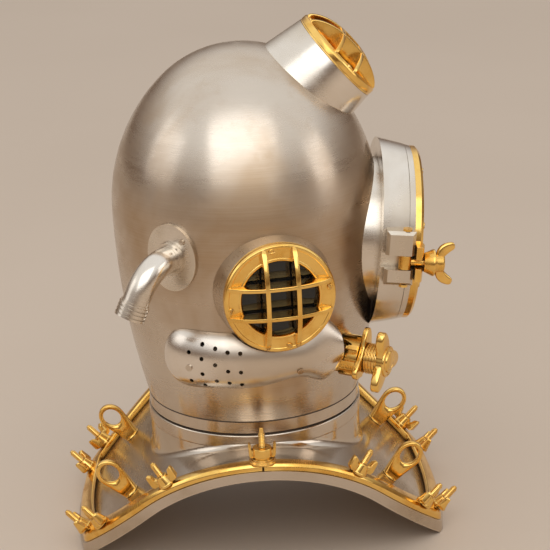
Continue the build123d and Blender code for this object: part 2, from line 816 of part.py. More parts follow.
with BuildPart() as front_ring:
    with Locations(door_plane.offset(door_ring_back).location):
        Cylinder(door_neck_radius, door_neck_depth, align=(Align.CENTER, Align.CENTER, Align.MAX))
        Cone(
            door_ring_back_radius,
            door_ring_front_radius,
            door_ring_front - door_ring_back,
            align=(Align.CENTER, Align.CENTER, Align.MIN),
        )
    with Locations(door_plane.location):
        with Locations((-(ear_root + ear_reach) / 2, (ear_upper - ear_lower) / 2, (ear_back + ear_front) / 2)):
            Box(ear_reach - ear_root, ear_upper + ear_lower, ear_front - ear_back)
    ear_edges = front_ring.edges().filter_by(
        lambda e: abs(door_plane.to_local_coords(e.center()).X + ear_reach) < seat_gap
    )
    chamfer(ear_edges, ear_bevel)
    with Locations(hinge_plane.location):
        Cylinder(hinge_radius, 2 * hinge_half_height)
    with Locations(door_plane.location):
        with Locations(((ear_root + hinge_x) / 2, 0, door_ring_front - hinge_arm_thickness / 2)):
            Box(hinge_x - ear_root, 2 * hinge_half_height, hinge_arm_thickness)
    with Locations(hinge_plane.location):
        Cylinder(
            hinge_radius + hinge_slack,
            2 * (hinge_knuckle_half_height + hinge_slack),
            mode=Mode.SUBTRACT,
        )
        Cylinder(hinge_pin_radius, 4 * hinge_half_height, mode=Mode.SUBTRACT)
    with Locations(door_plane.location):
        with Locations((-slot_root, 0, ear_back - overrun)):
            Box(ear_reach, ear_slot, ear_front, align=(Align.MAX, Align.CENTER, Align.MIN), mode=Mode.SUBTRACT)
    with Locations(pivot_plane.location):
        Cylinder(pin_radius, 4 * ear_upper, mode=Mode.SUBTRACT)
    with Locations(door_plane.offset(door_ring_front).location):
        Cylinder(
            door_ring_front_radius + door_gap,
            ear_front,
            align=(Align.CENTER, Align.CENTER, Align.MIN),
            mode=Mode.SUBTRACT,
        )
        Cylinder(door_gasket_outer_radius, 2 * door_gasket_groove, mode=Mode.SUBTRACT)
    with Locations(door_plane.offset(door_ring_front - door_gasket_groove).location):
        Cylinder(door_gasket_inner_radius, door_gasket_groove, align=(Align.CENTER, Align.CENTER, Align.MIN))
    with Locations(door_plane.location):
        Cylinder(door_bore_radius, 4 * door_ring_front, mode=Mode.SUBTRACT)
    add(bonnet_outside, mode=Mode.SUBTRACT)
front_ring.part.label = "front_port_ring"
export_step(front_ring.part, "parts/front_port_ring.step")

with BuildPart() as door_gasket:
    with BuildSketch(door_plane.offset(door_ring_front - door_gasket_groove)):
        Circle(door_gasket_outer_radius)
        Circle(door_gasket_inner_radius, mode=Mode.SUBTRACT)
    extrude(amount=door_gasket_groove + door_gap / 2)
door_gasket.part.label = "door_gasket"
export_step(door_gasket.part, "parts/door_gasket.step")

# The door: its frame with the middle knuckle, the glass and the gold bezel with the fork
with BuildPart() as door_frame:
    with Locations(door_plane.offset(door_back).location):
        Cone(
            door_ring_front_radius - door_gap,
            door_frame_front_radius,
            door_frame_thickness,
            align=(Align.CENTER, Align.CENTER, Align.MIN),
        )
    with Locations(hinge_plane.location):
        Cylinder(hinge_radius, 2 * hinge_knuckle_half_height)
    with Locations(door_plane.offset(door_back).location):
        with Locations(((ear_root + hinge_x) / 2, 0, 0)):
            Box(
                hinge_x - ear_root,
                2 * hinge_knuckle_half_height,
                door_frame_thickness,
                align=(Align.CENTER, Align.CENTER, Align.MIN),
            )
    with Locations(hinge_plane.location):
        Cylinder(hinge_pin_radius + running_fit, 4 * hinge_half_height, mode=Mode.SUBTRACT)
    with Locations(door_plane.location):
        Cylinder(door_opening_radius, 4 * door_ring_front, mode=Mode.SUBTRACT)
    with Locations(door_plane.offset(glass_back).location):
        Cylinder(
            door_glass_radius + port_gasket_slack,
            door_glass_thickness,
            align=(Align.CENTER, Align.CENTER, Align.MIN),
            mode=Mode.SUBTRACT,
        )
    add(door_screws.part, mode=Mode.SUBTRACT)
door_frame.part.label = "door_frame"
export_step(door_frame.part, "parts/door_frame.step")

with BuildPart() as door_glass:
    with BuildSketch(door_plane.offset(glass_back)):
        Circle(door_glass_radius)
    extrude(amount=door_glass_thickness)
door_glass.part.label = "door_glass"
export_step(door_glass.part, "parts/door_glass.step")

with BuildPart() as door_bezel:
    with Locations(door_plane.offset(frame_front).location):
        Cylinder(
            door_bezel_radius,
            door_bezel_thickness,
            align=(Align.CENTER, Align.CENTER, Align.MIN),
        )
    chamfer(door_bezel.faces().filter_by(GeomType.PLANE).sort_by(Axis.Y)[0].edges(), door_bezel_chamfer)
    with BuildPart(mode=Mode.PRIVATE) as fork:
        with Locations(door_plane.offset(frame_front).location):
            with Locations((-fork_root, 0, 0)):
                Box(
                    fork_reach - fork_root,
                    2 * fork_half_height,
                    door_bezel_thickness,
                    align=(Align.MAX, Align.CENTER, Align.MIN),
                )
        with Locations(pivot_plane.location):
            Cylinder(bezel_front - bolt_pivot_reach, 4 * fork_half_height, mode=Mode.INTERSECT)
    add(fork.part)
    with Locations(door_plane.offset(frame_front).location):
        with Locations((-(bolt_pivot_x - fork_slot / 2), 0, 0)):
            Box(fork_reach, fork_slot, 4 * door_bezel_thickness, align=(Align.MAX, Align.CENTER, Align.CENTER), mode=Mode.SUBTRACT)
    with Locations(door_plane.location):
        Cylinder(door_opening_radius, 4 * door_ring_front, mode=Mode.SUBTRACT)
    with Locations(door_plane.offset(glass_back).location):
        Cylinder(
            door_glass_radius + port_gasket_slack,
            door_glass_thickness,
            align=(Align.CENTER, Align.CENTER, Align.MIN),
            mode=Mode.SUBTRACT,
        )
    add(door_screws.part, mode=Mode.SUBTRACT)
door_bezel.part.label = "door_bezel"
export_step(door_bezel.part, "parts/door_bezel.step")

# Pins of the hinge and of the swing bolt
with BuildPart() as hinge_pin:
    with Locations(hinge_plane.location):
        Cylinder(hinge_pin_radius, 2 * hinge_half_height)
    for end in side_signs:
        with Locations(hinge_plane.offset(end * (hinge_half_height + pin_head_height / 2)).location):
            Cylinder(hinge_pin_head_radius, pin_head_height)
hinge_pin.part.label = "hinge_pin"
export_step(hinge_pin.part, "parts/hinge_pin.step")

with BuildPart() as bolt_pin:
    with Locations(pivot_plane.offset(-ear_lower).location):
        Cylinder(pin_radius, ear_upper + ear_lower, align=(Align.CENTER, Align.CENTER, Align.MIN))
    with Locations(pivot_plane.offset(ear_upper).location):
        Cylinder(pin_head_radius, pin_head_height, align=(Align.CENTER, Align.CENTER, Align.MIN))
    with Locations(pivot_plane.offset(-ear_lower).location):
        Cylinder(pin_head_radius, pin_head_height, align=(Align.CENTER, Align.CENTER, Align.MAX))
bolt_pin.part.label = "swing_bolt_pin"
export_step(bolt_pin.part, "parts/swing_bolt_pin.step")

# Swing bolt and the nut that holds the door
with BuildPart() as swing_bolt:
    with Locations(pivot_plane.location):
        Cylinder(bolt_eye_radius, ear_slot - 2 * bolt_slack)
    with Locations(bolt_plane.location):
        Cylinder(bolt_radius, bolt_end_reach - bolt_pivot_reach, align=(Align.CENTER, Align.CENTER, Align.MIN))
    bolt_tip = swing_bolt.faces().filter_by(GeomType.PLANE).sort_by(Axis.Y)[0]
    chamfer(bolt_tip.edges(), stud_tip)
    with Locations(pivot_plane.location):
        Cylinder(pin_radius + running_fit, ear_slot, mode=Mode.SUBTRACT)
swing_bolt.part.label = "swing_bolt"
export_step(swing_bolt.part, "parts/swing_bolt.step")

with BuildPart() as door_nut:
    with Locations(bolt_plane.offset(bezel_front - bolt_pivot_reach + bolt_slack).location):
        Cone(
            door_nut_foot_radius,
            door_nut_cone_radius,
            door_nut_cone_height,
            align=(Align.CENTER, Align.CENTER, Align.MIN),
        )
        Cylinder(door_nut_hub_radius, door_nut_hub_height, align=(Align.CENTER, Align.CENTER, Align.MIN))
    nut_base = bolt_plane.offset(bezel_front - bolt_pivot_reach + bolt_slack)
    with BuildSketch(Plane(origin=nut_base.origin, x_dir=door_plane.y_dir, z_dir=-door_plane.x_dir)):
        for side in side_signs:
            with BuildLine():
                points = [
                    (side * door_nut_wing_reach * x, -door_nut_wing_rise * z) for x, z in door_wing_shares
                ]
                Polyline(*points, close=True)
            make_face()
    extrude(amount=door_nut_wing_thickness / 2, both=True)
    with Locations(bolt_plane.location):
        Cylinder(bolt_radius + running_fit, 4 * bolt_end_reach, mode=Mode.SUBTRACT)
door_nut.part.label = "door_wing_nut"
export_step(door_nut.part, "parts/door_wing_nut.step")

# Goosenecks, each an elbow on an oval flange that fits the bonnet
flange_outside = bonnet_solid(-gooseneck_flange_thickness)
gooseneck_screw_sets = []
for name, side in (("air", 1), ("telephone", -1)):
    plane = gooseneck_planes[name]
    tail_out = outward_plane(side * (gooseneck_azimuth + gooseneck_lean), -gooseneck_drop, 0, 0).z_dir
    bend_plane = Plane(origin=plane.origin, x_dir=plane.z_dir, z_dir=plane.z_dir.cross(tail_out))
    bend = plane.z_dir.get_angle(tail_out)
    with BuildLine(bend_plane) as route:
        lead = Line((-gooseneck_flange_thickness, 0), (gooseneck_lead, 0))
        elbow = JernArc(start=lead @ 1, tangent=(1, 0), radius=gooseneck_bend_radius, arc_size=bend)
        tail = PolarLine(elbow @ 1, gooseneck_tail, bend)
    end_plane = Plane(origin=route.line @ 1, x_dir=plane.x_dir, z_dir=tail_out)
    with BuildPart() as screws:
        for turn in (flange_screw_angle, flange_screw_angle + 180):
            spot = (
                side * flange_screw_share * gooseneck_flange_half_width * cos(radians(turn)),
                flange_screw_share * gooseneck_flange_half_height * sin(radians(turn)),
            )
            with Locations(plane.location):
                with Locations((spot[0], spot[1], -2 * gooseneck_flange_thickness)):
                    Cylinder(screw_head_radius, overrun * gooseneck_flange_thickness, align=(Align.CENTER, Align.CENTER, Align.MIN))
        add(bonnet_solid(-gooseneck_flange_thickness - screw_head_height), mode=Mode.INTERSECT)
        add(bonnet_solid(-gooseneck_flange_thickness / 2), mode=Mode.SUBTRACT)
    gooseneck_screw_sets.append(screws.part)
    with BuildPart() as gooseneck:
        with BuildSketch(plane):
            Ellipse(gooseneck_flange_half_width, gooseneck_flange_half_height)
        extrude(amount=gooseneck_bend_radius / 2, both=True)
        add(flange_outside, mode=Mode.INTERSECT)
        with Locations(plane.location):
            Cylinder(
                gooseneck_root_radius,
                gooseneck_flange_thickness + gooseneck_root_length,
                align=(Align.CENTER, Align.CENTER, Align.MIN),
            )
        with BuildSketch(Plane(origin=route.line @ 0, z_dir=plane.z_dir)):
            Circle(gooseneck_radius)
        sweep(path=route.line)
        with Locations(end_plane.location):
            Cylinder(
                gooseneck_collar_radius - thread_groove_depth,
                gooseneck_collar_length,
                align=(Align.CENTER, Align.CENTER, Align.MAX),
            )
        for ridge in range(thread_groove_count + 1):
            with Locations(end_plane.offset(-thread_groove_pitch * ridge).location):
                Cylinder(
                    gooseneck_collar_radius,
                    thread_groove_pitch - thread_groove_width,
                    align=(Align.CENTER, Align.CENTER, Align.MAX),
                )
        add(bonnet_outside, mode=Mode.SUBTRACT)
        with BuildSketch(Plane(origin=route.line @ 0, z_dir=plane.z_dir)):
            Circle(gooseneck_bore_radius)
        sweep(path=route.line, mode=Mode.SUBTRACT)
        add(screws.part, mode=Mode.SUBTRACT)
    gooseneck.part.label = f"{name}_gooseneck"
    export_step(gooseneck.part, f"parts/{name}_gooseneck.step")
with BuildPart() as gooseneck_screws:
    for screw_set in gooseneck_screw_sets:
        add(screw_set)
gooseneck_screws.part.label = "gooseneck_screws"
export_step(gooseneck_screws.part, "parts/gooseneck_screws.step")

with BuildPart() as check_valve:
    with Locations(gooseneck_planes["air"].location):
        with Locations((0, 0, gooseneck_flange_thickness)):
            Cylinder(gooseneck_bore_radius, check_valve_length, align=(Align.CENTER, Align.CENTER, Align.MIN))
        with Locations((0, 0, gooseneck_flange_thickness + check_flap_thickness)):
            Cylinder(
                gooseneck_bore_radius - check_valve_wall,
                check_valve_length,
                align=(Align.CENTER, Align.CENTER, Align.MIN),
                mode=Mode.SUBTRACT,
            )
check_valve.part.label = "air_check_valve"
export_step(check_valve.part, "parts/air_check_valve.step")

# Exhaust channel along the right side of the bonnet
valve_star_plane = valve_plane.offset(valve_body_length)
valve_wheel_plane = valve_star_plane.offset(valve_star_thickness)
channel_radius = bonnet_surface_radius(channel_z)
channel_shapes = []
for shrink in (0, channel_wall):
    with BuildPart() as shape:
        for azimuth, height_share, depth_share in zip(
            channel_azimuths, channel_height_shares, channel_depth_shares
        ):
            out = outward_plane(azimuth, 0, channel_z, channel_radius)
            with BuildSketch(Plane(origin=out.origin, x_dir=out.z_dir, z_dir=out.x_dir)):
                Ellipse(channel_depth * depth_share - shrink / 2, channel_height * height_share - shrink)
        loft()
    channel_shapes.append(shape.part)
with BuildPart() as channel_screws:
    for azimuth, rise in channel_screw_rises.items():
        with Locations(outward_plane(azimuth, 0, channel_z + rise, channel_radius).location):
            Cylinder(channel_screw_radius, 2 * channel_depth, align=(Align.CENTER, Align.CENTER, Align.MIN))
    with BuildPart(mode=Mode.PRIVATE) as screw_shell:
        for azimuth, height_share, depth_share in zip(
            channel_azimuths, channel_height_shares, channel_depth_shares
        ):
            out = outward_plane(azimuth, 0, channel_z, channel_radius)
            with BuildSketch(Plane(origin=out.origin, x_dir=out.z_dir, z_dir=out.x_dir)):
                Ellipse(
                    channel_depth * depth_share + channel_screw_height,
                    channel_height * height_share + channel_screw_height,
                )
        loft()
    add(screw_shell.part, mode=Mode.INTERSECT)
    add(channel_shapes[1], mode=Mode.SUBTRACT)
channel_screws.part.label = "channel_screws"
export_step(channel_screws.part, "parts/channel_screws.step")
with BuildPart() as channel:
    add(channel_shapes[0])
    add(channel_shapes[1], mode=Mode.SUBTRACT)
    add(bonnet_solid(-seat_gap), mode=Mode.SUBTRACT)
    with Locations(valve_plane.location):
        Cylinder(valve_body_radius + valve_rib_height + seat_gap, 4 * valve_body_radius, mode=Mode.SUBTRACT)
    with Locations(right_port_plane.location):
        Cylinder(
            side_bezel_radius + port_collar_flare + seat_gap,
            2 * port_collar_depth,
            mode=Mode.SUBTRACT,
        )
    for azimuth, rises in channel_hole_rises.items():
        for rise in rises:
            spot = outward_plane(azimuth, 0, channel_z + rise, channel_radius + channel_wall)
            with Locations(spot.location):
                Cylinder(
                    channel_hole_radius,
                    2 * channel_depth,
                    align=(Align.CENTER, Align.CENTER, Align.MIN),
                    mode=Mode.SUBTRACT,
                )
    add(channel_screws.part, mode=Mode.SUBTRACT)
channel.part.label = "exhaust_channel"
export_step(channel.part, "parts/exhaust_channel.step")


def star_plate(plane, tip_radius, turn, thickness):
    """A plate with rounded points standing out of a round middle."""
    with BuildPart() as plate:
        with BuildSketch(plane):
            Circle(star_waist_radius)
            with PolarLocations(0, star_points, start_angle=turn):
                Polygon(
                    (0, star_waist_radius),
                    (tip_radius - star_tip_round, star_tip_round),
                    (tip_radius - star_tip_round, -star_tip_round),
                    (0, -star_waist_radius),
                    align=None,
                )
            with PolarLocations(tip_radius - star_tip_round, star_points, start_angle=turn):
                Circle(star_tip_round)
        extrude(amount=thickness)
    return plate.part


# Exhaust valve: body, disc with stem and chin button, spring, star flange and handwheel
with BuildPart() as valve_body:
    with Locations(valve_plane.offset(-valve_inset).location):
        Cylinder(valve_body_radius, valve_inset + valve_body_length, align=(Align.CENTER, Align.CENTER, Align.MIN))
    with Locations(valve_plane.location):
        with PolarLocations(valve_body_radius, valve_rib_count):
            Box(2 * valve_rib_height, valve_rib_width, valve_body_length, align=(Align.CENTER, Align.CENTER, Align.MIN))
    add(bonnet_outside, mode=Mode.SUBTRACT)
    with Locations(valve_plane.offset(-valve_shank_length).location):
        Cylinder(valve_shank_radius, valve_shank_length + valve_seat_height, align=(Align.CENTER, Align.CENTER, Align.MIN))
        Cylinder(valve_duct_radius, 2 * valve_body_length, align=(Align.CENTER, Align.CENTER, Align.MIN), mode=Mode.SUBTRACT)
    with Locations(valve_plane.offset(valve_seat_height).location):
        Cylinder(valve_chamber_radius, valve_body_length, align=(Align.CENTER, Align.CENTER, Align.MIN), mode=Mode.SUBTRACT)
    with Locations(valve_plane.offset(-valve_shank_length).location):
        Box(2 * valve_duct_radius, guide_arm_width, guide_length, align=(Align.CENTER, Align.CENTER, Align.MIN))
        Box(guide_arm_width, 2 * valve_duct_radius, guide_length, align=(Align.CENTER, Align.CENTER, Align.MIN))
        Cylinder(guide_radius, guide_length, align=(Align.CENTER, Align.CENTER, Align.MIN))
        Cylinder(stem_radius + running_fit, 2 * valve_shank_length, mode=Mode.SUBTRACT)
    mouth = outward_plane(channel_azimuths[-1], 0, channel_z, channel_radius + channel_depth / 3)
    with Locations(Plane(origin=mouth.origin, x_dir=mouth.z_dir, z_dir=mouth.x_dir).location):
        Cylinder(valve_mouth_radius, valve_mouth_length, mode=Mode.SUBTRACT)
valve_body.part.label = "exhaust_valve_body"
export_step(valve_body.part, "parts/exhaust_valve_body.step")

with BuildPart() as star_flange:
    add(star_plate(valve_star_plane, star_rear_tip_radius, star_rear_turn, valve_star_thickness))
    with Locations(valve_star_plane.location):
        Cylinder(valve_spigot_radius + running_fit, 4 * valve_star_thickness, mode=Mode.SUBTRACT)
star_flange.part.label = "exhaust_star_flange"
export_step(star_flange.part, "parts/exhaust_star_flange.step")

with BuildPart() as handwheel:
    sleeve_plane = valve_wheel_plane.offset(disc_gap)
    with Locations(sleeve_plane.location):
        Cylinder(valve_sleeve_radius, valve_sleeve_length, align=(Align.CENTER, Align.CENTER, Align.MIN))
        Cylinder(
            valve_spigot_radius,
            valve_star_thickness,
            align=(Align.CENTER, Align.CENTER, Align.MAX),
        )
    for ridge in range(valve_ridge_count):
        step = valve_sleeve_length / valve_ridge_count
        with Locations(sleeve_plane.offset(step * ridge + step / 3).location):
            Cylinder(
                valve_sleeve_radius + valve_ridge_depth,
                valve_ridge_width,
                align=(Align.CENTER, Align.CENTER, Align.MIN),
            )
    wheel_back = sleeve_plane.offset(valve_sleeve_length)
    add(star_plate(wheel_back, star_tip_radius, star_turn, valve_wheel_thickness))
    hub_plane = wheel_back.offset(valve_wheel_thickness)
    with Locations(hub_plane.location):
        Cone(
            valve_hub_radius,
            valve_hub_radius - valve_hub_step,
            valve_hub_height / 2,
            align=(Align.CENTER, Align.CENTER, Align.MIN),
        )
        Cone(
            valve_hub_radius - valve_hub_step,
            valve_hub_radius / 2,
            valve_hub_height,
            align=(Align.CENTER, Align.CENTER, Align.MIN),
        )
    with Locations(sleeve_plane.offset(-valve_star_thickness).location):
        Cylinder(
            stem_radius + guide_arm_width / 2,
            valve_sleeve_length,
            align=(Align.CENTER, Align.CENTER, Align.MIN),
            mode=Mode.SUBTRACT,
        )
handwheel.part.label = "exhaust_handwheel"
export_step(handwheel.part, "parts/exhaust_handwheel.step")

with BuildPart() as disc:
    with Locations(valve_plane.offset(valve_seat_height + disc_gap).location):
        Cylinder(disc_radius, disc_thickness, align=(Align.CENTER, Align.CENTER, Align.MIN))
    with Locations(valve_plane.offset(-chin_button_reach).location):
        Cylinder(stem_radius, chin_button_reach + stem_tip, align=(Align.CENTER, Align.CENTER, Align.MIN))
        Cylinder(chin_button_radius, chin_button_thickness, align=(Align.CENTER, Align.CENTER, Align.MIN))
disc.part.label = "exhaust_disc"
export_step(disc.part, "parts/exhaust_disc.step")

with BuildPart() as spring:
    spring_start = valve_seat_height + disc_gap + disc_thickness + disc_travel + disc_gap
    with BuildSketch(valve_plane.offset(spring_start)):
        Circle(spring_radius)
        Circle(spring_radius - spring_wall, mode=Mode.SUBTRACT)
    extrude(amount=valve_body_length - spring_start)
spring.part.label = "exhaust_spring"
export_step(spring.part, "parts/exhaust_spring.step")

# Spitcock: a small cock with a lever, on the wearer's left
with BuildPart() as spitcock:
    with Locations(spitcock_plane.offset(-spitcock_radius).location):
        Cylinder(spitcock_flange_radius, 2 * spitcock_radius, align=(Align.CENTER, Align.CENTER, Align.MIN))
    add(bonnet_solid(-gooseneck_flange_thickness), mode=Mode.INTERSECT)
    with Locations(spitcock_plane.location):
        Cylinder(spitcock_radius, spitcock_length, align=(Align.CENTER, Align.CENTER, Align.MIN))
    add(bonnet_outside, mode=Mode.SUBTRACT)
    with Locations(spitcock_plane.location):
        Cylinder(spitcock_bore_radius, 4 * spitcock_length, mode=Mode.SUBTRACT)
        with Locations((0, 0, spitcock_length / 2)):
            with Locations(Location((0, 0, 0), (90, 0, 0))):
                Cylinder(spitcock_plug_radius, 4 * spitcock_radius, mode=Mode.SUBTRACT)
spitcock.part.label = "spitcock_body"
export_step(spitcock.part, "parts/spitcock_body.step")

plug_plane = Plane(
    origin=spitcock_plane.offset(spitcock_length / 2).origin,
    x_dir=spitcock_plane.x_dir,
    z_dir=spitcock_plane.y_dir,
)
with BuildPart() as lever:
    with Locations(plug_plane.offset(-spitcock_radius - spitcock_plug_rise).location):
        Cylinder(
            spitcock_plug_radius - running_fit,
            2 * (spitcock_radius + spitcock_plug_rise),
            align=(Align.CENTER, Align.CENTER, Align.MIN),
        )
    with Locations(plug_plane.offset(spitcock_radius + spitcock_plug_rise - spitcock_lever_thickness).location):
        Box(
            spitcock_lever_length,
            spitcock_lever_width,
            spitcock_lever_thickness,
            align=(Align.MIN, Align.CENTER, Align.MIN),
        )
        Cylinder(spitcock_lever_width, spitcock_lever_thickness, align=(Align.CENTER, Align.CENTER, Align.MIN))
        with Locations((spitcock_lever_length, 0, 0)):
            Cylinder(spitcock_lever_width * 2 / 3, spitcock_lever_thickness, align=(Align.CENTER, Align.CENTER, Align.MIN))
    with Locations(spitcock_plane.location):
        Cylinder(spitcock_bore_radius, 4 * spitcock_length, mode=Mode.SUBTRACT)
lever.part.label = "spitcock_lever"
export_step(lever.part, "parts/spitcock_lever.step")
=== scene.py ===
"""Dresses the diving helmet: a finish for every piece, and finer surfaces for its small parts.

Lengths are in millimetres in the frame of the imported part: +Z is up, -Y is the wearer's
front and -X the wearer's right hand. They become metres when a mesh is made. The finishes,
the lamps and the camera are given in metres, as Blender's own coordinates are.
"""

import sys
import logging
import math
from abc import ABC, abstractmethod
from collections.abc import Sequence
from dataclasses import dataclass, field, replace
from enum import Enum
from typing import Union

import bmesh
import bpy
import numpy as np
from mathutils import Matrix, Vector


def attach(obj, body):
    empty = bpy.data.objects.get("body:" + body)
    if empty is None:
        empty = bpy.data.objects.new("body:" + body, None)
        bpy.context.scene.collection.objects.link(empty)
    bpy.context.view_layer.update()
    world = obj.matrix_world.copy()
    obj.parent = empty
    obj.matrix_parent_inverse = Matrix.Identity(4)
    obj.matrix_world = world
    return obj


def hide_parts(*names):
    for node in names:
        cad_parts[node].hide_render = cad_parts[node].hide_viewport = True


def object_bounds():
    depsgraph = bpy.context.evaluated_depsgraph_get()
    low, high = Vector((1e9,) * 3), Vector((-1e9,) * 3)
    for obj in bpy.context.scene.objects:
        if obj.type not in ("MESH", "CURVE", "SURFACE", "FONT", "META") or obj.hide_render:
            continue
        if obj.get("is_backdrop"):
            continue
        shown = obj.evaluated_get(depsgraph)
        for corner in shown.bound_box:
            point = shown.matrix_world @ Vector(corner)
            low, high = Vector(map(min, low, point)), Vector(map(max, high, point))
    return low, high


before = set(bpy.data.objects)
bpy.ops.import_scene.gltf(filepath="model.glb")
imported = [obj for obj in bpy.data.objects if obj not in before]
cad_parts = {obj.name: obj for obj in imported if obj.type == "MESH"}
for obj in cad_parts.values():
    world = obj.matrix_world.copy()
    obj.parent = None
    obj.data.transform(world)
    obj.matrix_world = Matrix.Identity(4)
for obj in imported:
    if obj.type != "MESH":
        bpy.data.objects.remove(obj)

Array = np.ndarray
Socket = bpy.types.NodeSocket
Node = bpy.types.Node
Piece = bpy.types.Object
Point = tuple[float, float, float]
Colour = tuple[float, float, float]
Corners = Sequence[tuple[float, float, float]]
Value = Union[Socket, float, tuple]

LOG = logging.getLogger("helmet")
FULL_TURN = 2 * math.pi
X_AXIS, Y_AXIS, Z_AXIS = np.eye(3)

# Metres: one millimetre, points that count as one, and an edge too short to keep
MM = 0.001
MERGE_REACH = 2e-6
SLIVER_EDGE = 1e-6

# Degrees between faces of a copied node that count as one flat
FLAT_ANGLE = 0.2

# Millimetres: a turned solid's radius at its axis, the strap's thickness, and the gap that is
# left under a nut or an eye
POLE = 0.01
STRAP_THICKNESS = 6.5
SEAT_GAP = 0.2


class Slot(Enum):
    """The material slots of the record."""

    NICKEL = "nickel_plate"
    BRASS = "polished_brass"
    LEATHER = "leather"
    GLASS = "glass"
    RUBBER = "rubber"


class Body(Enum):
    """The bodies that the new pieces ride on, apart from the wing nuts."""

    BREASTPLATE = "breastplate"
    BONNET = "bonnet"
    DOOR = "door"
    DOOR_NUT = "door_nut"
    SWING_BOLT = "swing_bolt"
    HANDWHEEL = "handwheel"
    LEVER = "spitcock_lever"


# Places


@dataclass(frozen=True)
class Seat:
    """A place on the helmet: a point, and the directions of its own x and z."""

    origin: Point
    x: Point
    z: Point

    def axes(self) -> Array:
        """The seat's own directions, its x made square to its z.

        Returns:
            The unit directions x, y and z, one in each row.
        """
        z = np.array(self.z) / np.linalg.norm(self.z)
        x = np.array(self.x) - z * np.dot(self.x, z)
        x = x / np.linalg.norm(x)
        return np.array([x, np.cross(z, x), z])

    def place(self, points: Array) -> Array:
        """Carries points of the seat into the helmet's frame: origin + x X + y Y + z Z."""
        return np.array(self.origin) + points @ self.axes()

    def lifted(self, height: float) -> "Seat":
        """The seat moved along its own z."""
        origin = np.array(self.origin) + self.axes()[2] * height
        return Seat(tuple(origin), self.x, self.z)

    def turned(self, degrees: float) -> "Seat":
        """The seat turned about its own z.

        Args:
            degrees: the turn, from its x towards its y.

        Returns:
            The turned seat.
        """
        a = math.radians(degrees)
        x, y, _ = self.axes()
        return Seat(self.origin, tuple(x * math.cos(a) + y * math.sin(a)), self.z)

    def moved(self, x: float, y: float, z: float) -> "Seat":
        """The seat moved by x, y and z along its own axes."""
        return Seat(tuple(self.place(np.array([x, y, z]))), self.x, self.z)


def outward_seat(azimuth: float, tilt: float, pivot_z: float, reach: float) -> Seat:
    """A seat square to an axis that leaves the neck axis at pivot_z.

    The axis is (-sin a cos t, -cos a cos t, sin t), with a turning from the front towards
    the wearer's right and t rising from level.

    Args:
        azimuth: a in degrees.
        tilt: t in degrees.
        pivot_z: height at which the axis leaves the neck axis.
        reach: distance of the seat along the axis.

    Returns:
        The seat, its own x level.
    """
    a, t = math.radians(azimuth), math.radians(tilt)
    out = np.array([-math.sin(a) * math.cos(t), -math.cos(a) * math.cos(t), math.sin(t)])
    level = np.cross(Z_AXIS, out)
    origin = np.array([0.0, 0.0, pivot_z]) + out * reach
    return Seat(tuple(origin), tuple(level), tuple(out))


NECK_SEAT = Seat((0.0, 0.0, 0.0), (1.0, 0.0, 0.0), (0.0, 0.0, 1.0))


# Surfaces


def rounded(corners: Corners, closed: bool = False, steps: int = 5) -> Array:
    """An outline through corners, each eased by a curve.

    With d and e the directions into and out of the corner P, and t the length cut from
    each side, the curve is (1-u)^2 (P - t d) + 2 u (1-u) P + u^2 (P + t e).

    Args:
        corners: (a, b, radius) of each corner.
        closed: whether the last corner joins the first.
        steps: points on each corner's curve.

    Returns:
        The outline's points, one (a, b) in each row. A closed one ends where it began.
    """
    table = np.array(corners, float)
    p, radius = table[:, :2], table[:, 2]
    if closed:
        out = np.roll(p, -1, axis=0) - p
        out /= np.linalg.norm(out, axis=1, keepdims=True)
        into = np.roll(out, 1, axis=0)
    else:
        leg = np.diff(p, axis=0)
        leg /= np.linalg.norm(leg, axis=1, keepdims=True)
        into, out = np.vstack([leg[:1], leg]), np.vstack([leg, leg[-1:]])
    turn = np.arccos(np.clip((into * out).sum(axis=1), -1, 1))
    cut = (radius * np.tan(turn / 2))[:, None, None]
    middle = p[:, None]
    start, end = middle - cut * into[:, None], middle + cut * out[:, None]
    u = np.linspace(0, 1, steps)[None, :, None]
    curve = ((1 - u) ** 2 * start + 2 * u * (1 - u) * middle + u**2 * end).reshape(-1, 2)
    return np.vstack([curve, curve[:1]]) if closed else curve


def bowed(points: Sequence[Point], steps: int) -> Array:
    """A curve drawn by three points: (1-u)^2 A + 2 u (1-u) B + u^2 C.

    Args:
        points: A, B and C.
        steps: points on the curve.

    Returns:
        The curve's points, one in each row.
    """
    a, b, c = (np.array(point, float) for point in points)
    u = np.linspace(0, 1, steps)[:, None]
    return (1 - u) ** 2 * a + 2 * u * (1 - u) * b + u**2 * c


def turned(seat: Seat, profile: Array, sides: int) -> Array:
    """A profile of (r, h) turned about the seat's z: (r cos a, r sin a, h).

    Args:
        seat: where the axis stands.
        profile: rows of radius and height.
        sides: columns round the axis.

    Returns:
        A grid of points, profile rows by sides.
    """
    a = np.linspace(0, FULL_TURN, sides, endpoint=False)
    r, h = profile[:, :1], profile[:, 1:2]
    return seat.place(np.stack([r * np.cos(a), r * np.sin(a), h + 0 * a], axis=-1))


